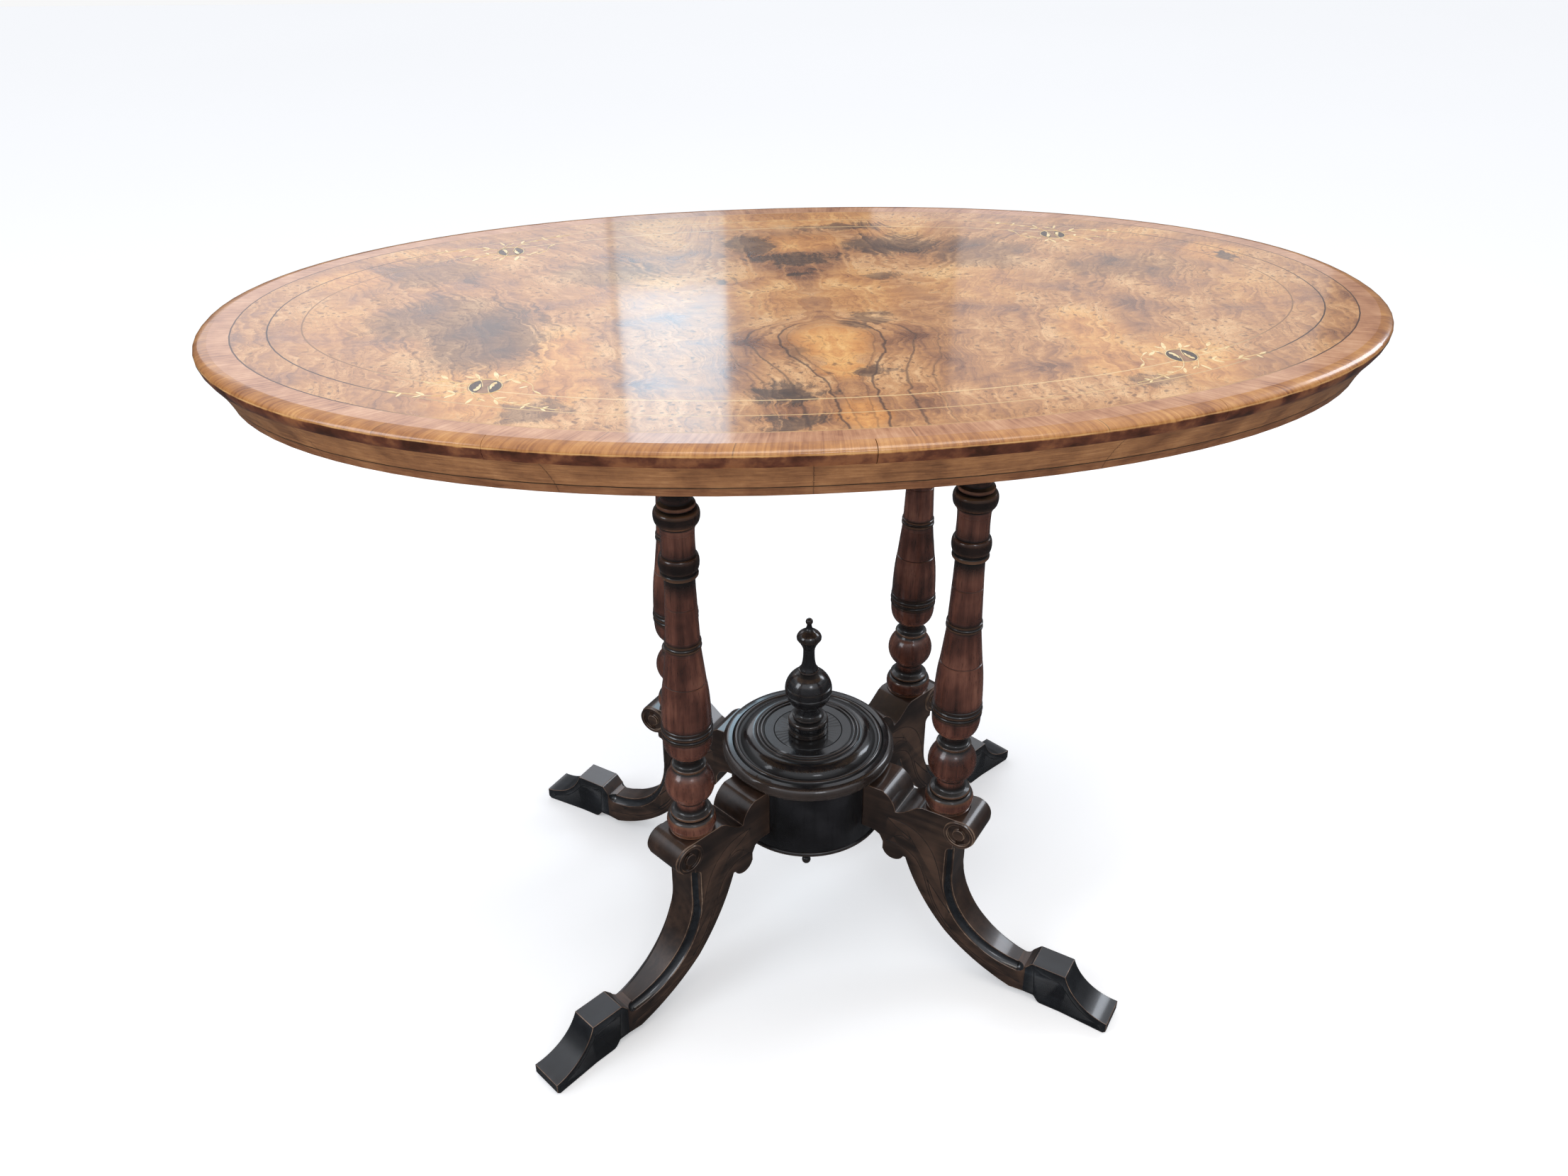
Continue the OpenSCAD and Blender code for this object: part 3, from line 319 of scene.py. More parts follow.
# Burr contours: thin dark lines that wind round the swirls like the lines of a map
wind_turn = add_node(tree, "Math MULTIPLY", {0: sway, 1: 50.0})
wind_wave = add_node(tree, "Math SINE", {0: wind_turn})
wind_off = add_node(tree, "Math ABSOLUTE", {0: wind_wave})
wind_thin = add_node(tree, "MapRange SMOOTHSTEP", {"Value": wind_off, "From Min": 0.22, "From Max": 0.02})
wind_seen = add_node(tree, "MapRange SMOOTHSTEP", {
    "Value": cloud, "From Min": 0.44, "From Max": 0.58, "To Max": 0.55})
wound = marked(tree, lined, wind_thin, wind_seen, "#4a2d18")
# The dark contours of the heart, which waver by 12 mm: at its edge, 8 mm inside it, and 25 and
# 46 mm outside it
waver = 12.0
heart_sway = add_node(tree, "Math MULTIPLY_ADD", {0: sway, 1: waver, 2: heart_side})
contours = 0.0
for out_by, width, strength in ((0.0, 1.2, 0.8), (-8.0, 0.8, 0.35), (25.0, 1.1, 0.65), (46.0, 0.8, 0.4)):
    past = add_node(tree, "Math SUBTRACT", {0: heart_sway, 1: out_by + waver / 2})
    off = add_node(tree, "Math ABSOLUTE", {0: past})
    near = add_node(tree, "MapRange SMOOTHSTEP", {
        "Value": off, "From Min": width * 1.6, "From Max": width * 0.3, "To Max": strength})
    contours = add_node(tree, "Math MAXIMUM", {0: contours, 1: near})
below_top = add_node(tree, "MapRange SMOOTHSTEP", {"Value": to_back, "From Min": -48.0, "From Max": -66.0})
outlined = marked(tree, wound, contours, below_top, "#452a1a")
# Burr eyes: dark dots with rings, thickest down the middle and round the sprays
eye_place = add_node(tree, "VectorMath MULTIPLY_ADD", {
    0: sway.outputs["Color"], 1: (18.0, 18.0, 0.0), 2: leaf_place})
eyes = add_node(tree, "TexVoronoi 2D", {"Vector": eye_place, "Scale": 1 / 12})
eye_dot = add_node(tree, "MapRange SMOOTHSTEP", {"Value": eyes, "From Min": 0.2, "From Max": 0.06})
eye_seen = add_node(tree, "MapRange SMOOTHSTEP", {
    "Value": cloud, "From Min": 0.46, "From Max": 0.58, "To Max": 0.65})
eyed = marked(tree, outlined, eye_dot, eye_seen, "#5b371f")
# The polish has sunk a little into the fibre, and it is duller where hands and cloths rub
give_surface(tree, shader, eyed, streak, 0.08, 0.0008)
rubbed = add_node(tree, "MapRange", {
    "Value": cloud, "From Min": 0.3, "From Max": 0.7, "To Min": 0.26, "To Max": 0.38})
feed(tree, shader, {"Roughness": rubbed})
dress(burr, "veneer_leaf_left", "veneer_leaf_right")


# The edge of the top: cross-grain walnut laid round it, the crossbanding flat and the moulding
# planed to a thumb over a cove. It was polished with the top; the cove below is painted dark as the shade
# under the lip.
def around_the_oval(tree, half_sizes):
    """How far round the oval a point lies, in mm, and its place in mm, split and whole."""
    mm, axes = in_mm(tree)
    long_part = add_node(tree, "Math DIVIDE", {0: axes.outputs["X"], 1: half_sizes[0]})
    wide_part = add_node(tree, "Math DIVIDE", {0: axes.outputs["Y"], 1: half_sizes[1]})
    turn = add_node(tree, "Math ARCTAN2", {0: wide_part, 1: long_part})
    along = add_node(tree, "Math MULTIPLY", {0: turn, 1: sum(half_sizes) / 2})
    return along, axes, mm


top_half_sizes = (506.5, 300.5)


def cross_grain(name, tones, lengths, shade=None):
    """French-polished cross-grain walnut round the oval, in a number of butted lengths."""
    finish, tree, shader = new_finish(name, 0.28, 0.5, 0.08)
    along, axes, mm = around_the_oval(tree, top_half_sizes)
    inwards = add_node(tree, "VectorMath LENGTH", {0: mm})
    grain_long = add_node(tree, "Math MULTIPLY", {0: inwards, 1: 0.12})
    grain_place = add_node(tree, "CombineXYZ", {"X": along, "Y": grain_long})
    grain = add_node(tree, "TexNoise 2D", {
        "Vector": grain_place, "Scale": 0.4, "Detail": 5.0, "Roughness": 0.6, "Distortion": 0.4})
    mottle = add_node(tree, "TexNoise", {"Vector": mm, "Scale": 1 / 26, "Detail": 5.0, "Roughness": 0.62})
    both = add_node(tree, "Mix", {"Factor": 0.58, "A": grain, "B": mottle})
    colour = add_node(tree, "ValToRGB", {"Fac": both}, list(zip((0.34, 0.45, 0.55, 0.66), tones)))
    # A hairline of dirt where two lengths meet. The first joint is 0.37 of a length off the end,
    # and the 100 keeps the count above zero
    first_joint = 100.37
    step = add_node(tree, "Math DIVIDE", {0: along, 1: math.pi * sum(top_half_sizes) / lengths})
    moved = add_node(tree, "Math ADD", {0: step, 1: first_joint})
    part = add_node(tree, "Math FRACT", {0: moved})
    joint = add_node(tree, "MapRange", {"Value": part, "From Min": 0.006, "From Max": 0.002, "To Max": 0.5})
    final = add_node(tree, "Mix RGBA", {"Factor": joint, "A": colour, "B": "#2b1810"})
    if shade:
        final = shade(tree, final, axes.outputs["Z"], mottle, along)
    give_surface(tree, shader, final, both, 0.12, 0.0008)
    return finish


def thumb_and_shaded_cove(tree, colour, height, mottle, along):
    """Honey above the lip, a painted dark red shade in the cove below it, and a pale line on the lip that is
    rubbed wear with a painted highlight.
    """
    lip_height = 705.3
    ragged = add_node(tree, "Math MULTIPLY_ADD", {0: mottle, 1: 3.0, 2: height})
    under = add_node(tree, "MapRange SMOOTHSTEP", {"Value": ragged, "From Min": 706.4, "From Max": 705.6})
    # The cove under the lip is painted a dark red shade, with a ragged edge
    painted_cove_shade = add_node(tree, "ValToRGB", {"Fac": mottle}, [
        (0.38, "#42200f"), (0.5, "#633420"), (0.62, "#8a5532")])
    with_cove_shade = add_node(tree, "Mix RGBA", {"Factor": under, "A": colour, "B": painted_cove_shade})
    # The lip gets a pale line, partly rubbed wear and partly a painted highlight
    over_lip = add_node(tree, "Math SUBTRACT", {0: height, 1: lip_height})
    off_lip = add_node(tree, "Math ABSOLUTE", {0: over_lip})
    lip_highlight_band = add_node(tree, "MapRange SMOOTHSTEP", {"Value": off_lip, "From Min": 0.7, "From Max": 0.1})
    rub_noise = add_node(tree, "TexNoise 1D", {"W": along, "Scale": 1 / 30, "Detail": 4.0})
    lip_wear_and_highlight = add_node(tree, "MapRange", {
        "Value": rub_noise, "From Min": 0.35, "From Max": 0.6, "To Min": 0.15, "To Max": 0.8})
    return marked(tree, with_cove_shade, lip_wear_and_highlight, lip_highlight_band, "#dcae74")


dress(cross_grain("french_polished_crossbanding", ("#8f5a3b", "#b07a55", "#c28d66", "#d3a37d"), 14),
      "crossband")


def take(*pieces):
    """Selects these pieces and nothing else, with the first of them active."""
    bpy.ops.object.select_all(action="DESELECT")
    for piece in pieces:
        piece.select_set(True)
    bpy.context.view_layer.objects.active = pieces[0]


def edit_all(piece):
    """Opens a piece in edit mode with all of it selected."""
    take(piece)
    bpy.ops.object.mode_set(mode="EDIT")
    bpy.ops.mesh.select_all(action="SELECT")


def leave_edit():
    """Closes the piece that is open in edit mode."""
    bpy.ops.object.mode_set(mode="OBJECT")


def merged_copy(node_name, name, smooth_degrees):
    """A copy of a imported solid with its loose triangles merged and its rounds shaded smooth."""
    piece = put(name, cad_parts[node_name].data.copy())
    piece.data.materials.clear()
    edit_all(piece)
    bpy.ops.mesh.customdata_custom_splitnormals_clear()
    bpy.ops.mesh.remove_doubles(threshold=0.000004)
    leave_edit()
    bpy.ops.object.shade_smooth_by_angle(angle=math.radians(smooth_degrees))
    return piece


moulding = merged_copy("edge_moulding", "thumb_moulding", 32)
moulding.data.materials.append(cross_grain(
    "french_polished_thumb_moulding", ("#85502a", "#a66d3a", "#bb8147", "#cf9859"), 12, thumb_and_shaded_cove))
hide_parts("edge_moulding")
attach(moulding, "top")


# The three lines of the top: boxwood strips 1.2 mm wide, one against the crossbanding and two
# let into the burr further in, polished with it and darker towards the ends of the table.
def line_finish(name, tone, end_tone):
    """Even pale wood with dirt along it, which runs into its darker end tone."""
    finish, tree, shader = new_finish(name, 0.3, 0.3, 0.1)
    along, axes = around_the_oval(tree, top_half_sizes)[:2]
    wear = add_node(tree, "TexNoise 1D", {"W": along, "Scale": 1 / 40, "Detail": 3.0, "Roughness": 0.6})
    from_middle = add_node(tree, "Math ABSOLUTE", {0: axes.outputs["X"]})
    far_out = add_node(tree, "MapRange SMOOTHSTEP", {
        "Value": from_middle, "From Min": 270.0, "From Max": 390.0})
    end_dirt = add_node(tree, "Math SUBTRACT", {0: far_out, 1: 0.12})
    dirty = add_node(tree, "Math MULTIPLY_ADD", {0: wear, 1: 0.5, 2: end_dirt}, use_clamp=True)
    feed(tree, shader, {"Base Color": add_node(
        tree, "Mix RGBA", {"Factor": dirty, "A": tone, "B": end_tone})})
    return finish


dress(line_finish("boxwood_outer_line", "#c89a66", "#4a2f1e"), "outer_string")
dress(line_finish("boxwood_second_line", "#d8b27c", "#3d261a"), "second_string")
dress(line_finish("boxwood_third_line", "#e6c690", "#8a6442"), "third_string")

# The frieze: a ring of softwood lengths glued under the edge, faced with straight-grained
# walnut, a dark line of stringing, and a band of the same walnut below the line.
frieze_half_sizes = (487.0, 281.0)


def frieze_finish(name, tones):
    """French-polished straight-grained walnut that bends with the frieze, stained by age."""
    finish, tree, shader = new_finish(name, 0.32, 0.4, 0.16)
    along, axes, mm = around_the_oval(tree, frieze_half_sizes)
    grain_long = add_node(tree, "Math MULTIPLY", {0: along, 1: 0.05})
    grain_place = add_node(tree, "CombineXYZ", {"X": grain_long, "Y": axes.outputs["Z"]})
    grain = add_node(tree, "TexNoise 2D", {
        "Vector": grain_place, "Scale": 0.7, "Detail": 5.0, "Roughness": 0.62, "Distortion": 0.8})
    stain = add_node(tree, "TexNoise", {"Vector": mm, "Scale": 1 / 38, "Detail": 6.0, "Roughness": 0.62})
    both = add_node(tree, "Mix", {"Factor": 0.62, "A": grain, "B": stain})
    colour = add_node(tree, "ValToRGB", {"Fac": both}, list(zip((0.35, 0.46, 0.55, 0.66), tones)))
    # A hair crack across the veneer every 190 mm or so
    crack_place = add_node(tree, "Math MULTIPLY_ADD", {0: grain, 1: 2.0, 2: along})
    crack_cell = add_node(tree, "TexVoronoi 1D", {"W": crack_place, "Scale": 1 / 190},
                          feature="DISTANCE_TO_EDGE")
    crack = add_node(tree, "MapRange", {
        "Value": crack_cell, "From Min": 0.0022, "From Max": 0.0008, "To Max": 0.6})
    cracked = add_node(tree, "Mix RGBA", {"Factor": crack, "A": colour, "B": "#26140b"})
    give_surface(tree, shader, cracked, both, 0.12, 0.0008)
    return finish


dress(frieze_finish("french_polished_frieze_veneer", ("#6b4327", "#895a36", "#9f6c41", "#b58253")),
      "frieze_veneer")
dress(frieze_finish("french_polished_frieze_band", ("#5f3a22", "#7c4d2d", "#905e39", "#a57349")),
      "frieze_band")

# The frieze line is two laid together: ebonised above, pale below
frieze_line, tree, shader = new_finish("ebonised_and_boxwood_frieze_line", 0.35, 0.3, 0.16)
mm, axes = in_mm(tree)
pale_part = add_node(tree, "MapRange SMOOTHSTEP", {
    "Value": axes.outputs["Z"], "From Min": 673.5, "From Max": 673.3, "To Max": 0.4})
line_dirt = add_node(tree, "TexNoise", {"Vector": mm, "Scale": 1 / 12, "Detail": 4.0})
dark_part = add_node(tree, "ValToRGB", {"Fac": line_dirt}, [(0.35, "#140c08"), (0.65, "#3b2215")])
two_lines = add_node(tree, "Mix RGBA", {"Factor": pale_part, "A": dark_part, "B": "#a87c4c"})
feed(tree, shader, {"Base Color": two_lines})
dress(frieze_line, "frieze_string")


# The carcase under the top: softwood board and rail, planed by hand and never polished, gone
# brown with a century of dust, and the beech frame that the top tilts on, stained to match.
def carcase_finish(name, tones, across):
    """Bare planed wood with long grain along the table, plane marks and dirt."""
    finish, tree, shader = new_finish(name, 0.75, 0.0, 0.3)
    place = add_node(tree, "TexCoord", {}).outputs["Object"]
    stretched = add_node(tree, "Mapping", {"Vector": place, "Scale": across})
    grain = add_node(tree, "TexNoise", {
        "Vector": stretched, "Scale": 1.0, "Detail": 5.0, "Roughness": 0.6, "Distortion": 0.8})
    dirt = add_node(tree, "TexNoise", {"Vector": place, "Scale": 9.0, "Detail": 3.0})
    both = add_node(tree, "Mix", {"Factor": 0.4, "A": grain, "B": dirt})
    colour = add_node(tree, "ValToRGB", {"Fac": both}, list(zip((0.35, 0.5, 0.66), tones)))
    give_surface(tree, shader, colour, grain, 0.3, 0.0008)
    return finish


dress(carcase_finish("planed_pine", ("#6d4b2b", "#8f6a40", "#ab8656"), (10.0, 260.0, 260.0)),
      "top_core", "frieze_rail")
dress(carcase_finish("stained_beech", ("#2a170d", "#43281a", "#5a3a26"), (300.0, 14.0, 300.0)),
      "bearer_left", "bearer_right", "pillar_block", "pivot_pins")


# The catch and its keeper: cast brass, filed and screwed on, browned by hands and polish, and
# the iron wood screws that hold the bearers, dull with rust.
def metal_finish(name, tones, metallic, roughness, grit):
    """Old metal: its own tone, with dirt in patches that shows more of the second tone."""
    finish, tree, shader = new_finish(name, roughness, 0.0, 0.3)
    place = add_node(tree, "TexCoord", {}).outputs["Object"]
    stain = add_node(tree, "TexNoise", {"Vector": place, "Scale": grit, "Detail": 5.0})
    colour = add_node(tree, "ValToRGB", {"Fac": stain}, list(zip((0.4, 0.62), tones)))
    give_surface(tree, shader, colour, stain, 0.1, 0.0004)
    feed(tree, shader, {"Metallic": metallic})
    return finish


dress(metal_finish("aged_brass", ("#d3b06a", "#a3813f"), 1.0, 0.42, 90.0),
      "catch_case", "catch_bolt", "catch_screws", "keeper_plate", "keeper_screws")
dress(metal_finish("rusted_iron", ("#4a4440", "#5d3a26"), 0.8, 0.55, 220.0), "bearer_screws")


# The marquetry: four ovals cut into the burr, each with two dark lobes and pale fins inside,
# and a spray of boxwood leaves and tendrils round it. They lie level with the polish.
def marquetry_finish(name, stretch, detail, stops):
    """Thin wood of its own tone and grain, let into the burr and polished with it."""
    finish, tree, shader = new_finish(name, 0.3, 0.4, 0.15)
    place = add_node(tree, "TexCoord", {}).outputs["Object"]
    stretched = add_node(tree, "Mapping", {"Vector": place, "Scale": stretch})
    grain = add_node(tree, "TexNoise", {"Vector": stretched, "Scale": 1.0, "Detail": detail})
    feed(tree, shader, {"Base Color": add_node(tree, "ValToRGB", {"Fac": grain}, stops)})
    return finish


ebony_cut = marquetry_finish("stained_marquetry_wood", (900.0, 90.0, 90.0), 4.0,
                             [(0.35, "#2a1c14"), (0.65, "#4b3426")])
boxwood_cut = marquetry_finish("boxwood_marquetry", (110.0, 110.0, 110.0), 4.0,
                               [(0.3, "#d0aa6c"), (0.5, "#ecd199"), (0.7, "#f6e3b4")])
dress(marquetry_finish("walnut_marquetry_ground", (140.0, 140.0, 140.0), 5.0,
                       [(0.3, "#7c573b"), (0.7, "#a67a55")]), "roundels")

surface_z = 0.710
proud = 0.00006
let_in_z = surface_z - 0.0002
tendril_width = 0.0009
ring_width = 0.0010
spray_centre = (0.2662, -0.1665)
# Leaves of a spray, in mm from the middle of its oval: where each starts, where its tip is,
# and how wide it is
spray_leaves = [
    ((5, 15), (9, 27), 2.8), ((8, 17), (16, 21), 2.2), ((-8, 14), (-5, 29), 3.4),
    ((-9, 16), (-15, 22), 2.4), ((-18, 11), (-26, 2), 3.2), ((-20, 13), (-14, 9), 2.2),
    ((-30, 5), (-25, 10), 1.8), ((-35, -12), (-41, -20), 2.2), ((-31, -3), (-24, -6), 2.0),
    ((-8, -23), (-17, -22), 2.4), ((-8, -25), (-11, -35), 2.6), ((-18, -32), (-25, -32), 2.2),
    ((-29, -38), (-34, -34), 2.0), ((-30, -39), (-27, -44), 2.0), ((-42, -45), (-47, -42), 2.2),
    ((-41, -45), (-45, -50), 1.8), ((7, -20), (12, -31), 2.6), ((3, -22), (-2, -28), 1.8),
    ((20, -11), (28, -18), 3.0), ((20, -11), (27, -4), 2.4), ((42, -11), (49, -4), 2.6),
    ((44, -11), (51, -14), 2.2), ((59, -5), (62, -12), 2.2), ((62, -4), (70, 0), 2.0),
    ((28, 17), (34, 26), 3.4), ((20, 8), (23, 1), 2.4), ((40, 10), (46, 16), 2.2),
]
# Tendrils that the leaves grow from, each a string of points
spray_stems = [
    [(2, 0), (2.6, 8), (5, 15), (7, 20)],
    [(-2, 0), (-2.6, -8), (-4, -14), (-8, -24), (-18, -32), (-31, -39), (-42, -45), (-54, -49)],
    [(-8, 11), (-9, 15), (-7, 20)],
    [(-24, 10), (-30, 5), (-35, -3), (-34, -12), (-39, -18)],
    [(9, -10), (7, -18), (2, -26)],
    [(13, -8), (22, -11), (34, -14), (44, -11), (58, -5), (68, -3)],
    [(12, 6), (20, 8), (30, 16), (38, 9), (44, 14)],
]
# The pale line round the oval, and the outlines of a lobe and of the fin on its inner side
ring_points = [(12.2 * math.cos(a * math.pi / 12), 13.8 * math.sin(a * math.pi / 12)) for a in range(25)]
lobe_edge = [(5, 13), (8.2, 9.8), (10.9, 5), (11.7, 0), (11.2, -5), (9.3, -9.5), (7.6, -12),
             (5.2, -9), (3.2, -4), (2.2, 2), (2.8, 8)]
fin_edge = [(3.6, 6.5), (5.0, 3.4), (4.7, 1.6), (6.6, -0.6), (6.2, -2.6), (8.3, -5.0),
            (7.6, -8.0), (5.6, -7.2), (4.0, -4.5), (3.0, 0.0)]


def in_corner(x, y, flips, z):
    """A point of a spray, in mm from its oval, put at one of the four corners of the top."""
    return Vector((flips[0] * (spray_centre[0] + x / 1000), flips[1] * (-spray_centre[1] - y / 1000), z))


def tendril(name, points, thickness):
    """A thin round strip let into the surface, so that only its top shows."""
    curve = bpy.data.curves.new(name, "CURVE")
    curve.dimensions = "3D"
    curve.bevel_depth = thickness / 2
    curve.bevel_resolution = 1
    curve.resolution_u = 5
    spline = curve.splines.new("NURBS")
    spline.points.add(len(points) - 1)
    for point, spot in zip(spline.points, points):
        point.co = (*spot, 1.0)
    spline.use_endpoint_u = True
    spline.order_u = 3
    curve.use_fill_caps = True
    strip = put(name, curve)
    take(strip)
    bpy.ops.object.convert(target="MESH")
    edit_all(strip)
    bpy.ops.mesh.remove_doubles(threshold=0.000001)
    bpy.ops.mesh.normals_make_consistent()
    leave_edit()
    return strip


def cut_leaf(start, tip, width):
    """A pointed leaf from a flat disc, drawn out along its length and thickened a little."""
    middle = (start + tip) / 2
    along = tip - start
    bpy.ops.object.select_all(action="DESELECT")
    bpy.ops.mesh.primitive_circle_add(vertices=14, radius=0.5, fill_type="NGON", location=(0, 0, 0))
    leaf = bpy.context.active_object
    edit_all(leaf)
    bpy.ops.transform.resize(value=(width, along.length * 0.86, 1.0))
    bpy.ops.mesh.select_all(action="DESELECT")
    leave_edit()
    for vertex in leaf.data.vertices:
        vertex.select = abs(vertex.co.x) < width * 0.02
    bpy.ops.object.mode_set(mode="EDIT")
    bpy.ops.transform.resize(value=(1.0, 1.16, 1.0))
    leave_edit()
    leaf.matrix_world = Matrix.Translation(middle) @ Matrix.Rotation(
        math.atan2(along.y, along.x) - math.pi / 2, 4, "Z")
    return leaf


def apply_place(piece):
    """Writes a piece's place into its mesh, so that its object stands at the origin."""
    take(piece)
    bpy.ops.object.transform_apply(location=True, rotation=True, scale=True)


def join_as(name, pieces):
    """Joins pieces into the first of them, with its place in its mesh."""
    take(*pieces)
    bpy.ops.object.join()
    joined = pieces[0]
    joined.name = name
    joined.data.name = name
    apply_place(joined)
    return joined


def face_up(piece):
    """Turns every flat face of an inlay to the light."""
    edit_all(piece)
    bpy.ops.mesh.normals_make_consistent()
    leave_edit()
    if sum(p.normal.z * p.area for p in piece.data.polygons) < 0:
        edit_all(piece)
        bpy.ops.mesh.flip_normals()
        leave_edit()


# In the names of these pieces, front is the side of the tilt pivot
corners = {"front_right": (1, 1), "front_left": (-1, 1), "back_right": (1, -1), "back_left": (-1, -1)}
for corner, flips in corners.items():
    spray = join_as("spray_leaves_" + corner, [
        cut_leaf(in_corner(*start, flips, surface_z + proud), in_corner(*tip, flips, surface_z + proud),
                 width / 1000) for start, tip, width in spray_leaves])
    stems = [tendril("stem", [in_corner(x, y, flips, let_in_z) for x, y in points], tendril_width)
             for points in spray_stems]
    stems.append(tendril("ring", [in_corner(x, y, flips, let_in_z) for x, y in ring_points], ring_width))
    tendrils = join_as("spray_tendrils_" + corner, stems)
    # Two dark lobes, one the other turned half round, with a pale fin on the inner side
    lobes = []
    fins = []
    for side in (1, -1):
        for edge, lift, kept in ((lobe_edge, proud, lobes), (fin_edge, 2 * proud, fins)):
            flat = bpy.data.meshes.new("lobe")
            flat.from_pydata([in_corner(side * x, side * y, flips, surface_z + lift) for x, y in edge],
                             [], [range(len(edge))])
            kept.append(put("lobe", flat))
    dark_lobes = join_as("oval_lobes_" + corner, lobes)
    pale_fins = join_as("oval_fins_" + corner, fins)
    for piece in (spray, dark_lobes, pale_fins):
        face_up(piece)
    for piece, wood, slot_name in (
            (spray, boxwood_cut, "boxwood_line"), (tendrils, boxwood_cut, "boxwood_line"),
            (dark_lobes, ebony_cut, "ebonised_line"), (pale_fins, boxwood_cut, "boxwood_line")):
        piece.data.materials.append(wood)
        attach(piece, "top")


# The turned columns: walnut spun on the lathe with its grain upright, ebonised in the collars
# and browned by polish. Dirt has filled the grooves, and the ridges are painted pale as hand wear
# with a painted highlight.
def closer_rings(piece, step):
    """Adds rings to a turned piece until no stretch of its outline is longer than a step."""
    edit_all(piece)
    bpy.ops.mesh.select_mode(type="EDGE")
    bpy.ops.mesh.tris_convert_to_quads(face_threshold=math.radians(25), shape_threshold=math.radians(100))
    for _ in range(6):
        bpy.ops.mesh.select_all(action="DESELECT")
        leave_edit()
        spots = [vert.co for vert in piece.data.vertices]
        found = 0
        for edge in piece.data.edges:
            one, other = spots[edge.vertices[0]], spots[edge.vertices[1]]
            crossing = abs(one.x * other.y - other.x * one.y)
            upright = crossing < 0.02 * one.xy.length * other.xy.length + 1e-9
            edge.select = upright and (one - other).length > step
            found += edge.select
        bpy.ops.object.mode_set(mode="EDIT")
        if found == 0:
            break
        bpy.ops.mesh.subdivide()
    bpy.ops.mesh.select_mode(type="VERT")
    leave_edit()


def mean_near(line, key):
    """The mean of an outline round one of its places."""
    reach = 6
    near = [line[k] for k in range(key - reach, key + reach + 1) if k in line]
    return sum(near) / len(near)


def note(piece, name, values, domain="POINT"):
    """Writes a number on each point, or on each edge, of a piece for its finish to read."""
    layer = piece.data.attributes.new(name, "FLOAT", domain)
    layer.data.foreach_set("value", values)


def note_turning(piece, stained):
    """Writes at each ring how deep it lies in a groove, how it stands out, and if it is stained."""
    bin_size = 0.0005
    sides, tops = {}, {}
    for vert in piece.data.vertices:
        out, up = vert.co.xy.length, vert.co.z
        out_bin, up_bin = round(out / bin_size), round(up / bin_size)
        sides[up_bin] = max(sides.get(up_bin, 0.0), out)
        tops[out_bin] = max(tops.get(out_bin, -1.0), up)
    for line in (sides, tops):
        keys = sorted(line)
        for low, high in zip(keys, keys[1:]):
            for key in range(low + 1, high):
                line[key] = line[low] + (line[high] - line[low]) * (key - low) / (high - low)
    depths, stains = [], []
    for vert in piece.data.vertices:
        out, up = vert.co.xy.length, vert.co.z
        if abs(vert.normal.z) > 0.75:
            depth = mean_near(tops, round(out / bin_size)) - up if vert.normal.z > 0 else 0.0
        else:
            depth = mean_near(sides, round(up / bin_size)) - out
        depths.append(depth * 1000)
        stain = 0.0
        for low, high, fade in stained:
            into = min(up * 1000 - low, high - up * 1000)
            stain = max(stain, min(1.0, max(0.0, 0.5 + into / fade)))
        stains.append(stain)
    note(piece, "hollow", [max(0.0, d) for d in depths])
    note(piece, "ridge", [max(0.0, -d) for d in depths])
    note(piece, "stained", stains)


def note_board(piece, across):
    """Writes where each point lay in the wood that the piece was cut from, before it is placed."""
    board = piece.data.attributes.new("board", "FLOAT_VECTOR", "POINT")
    board.data.foreach_set("vector", [c for v in piece.data.vertices for c in (v.co + across)])


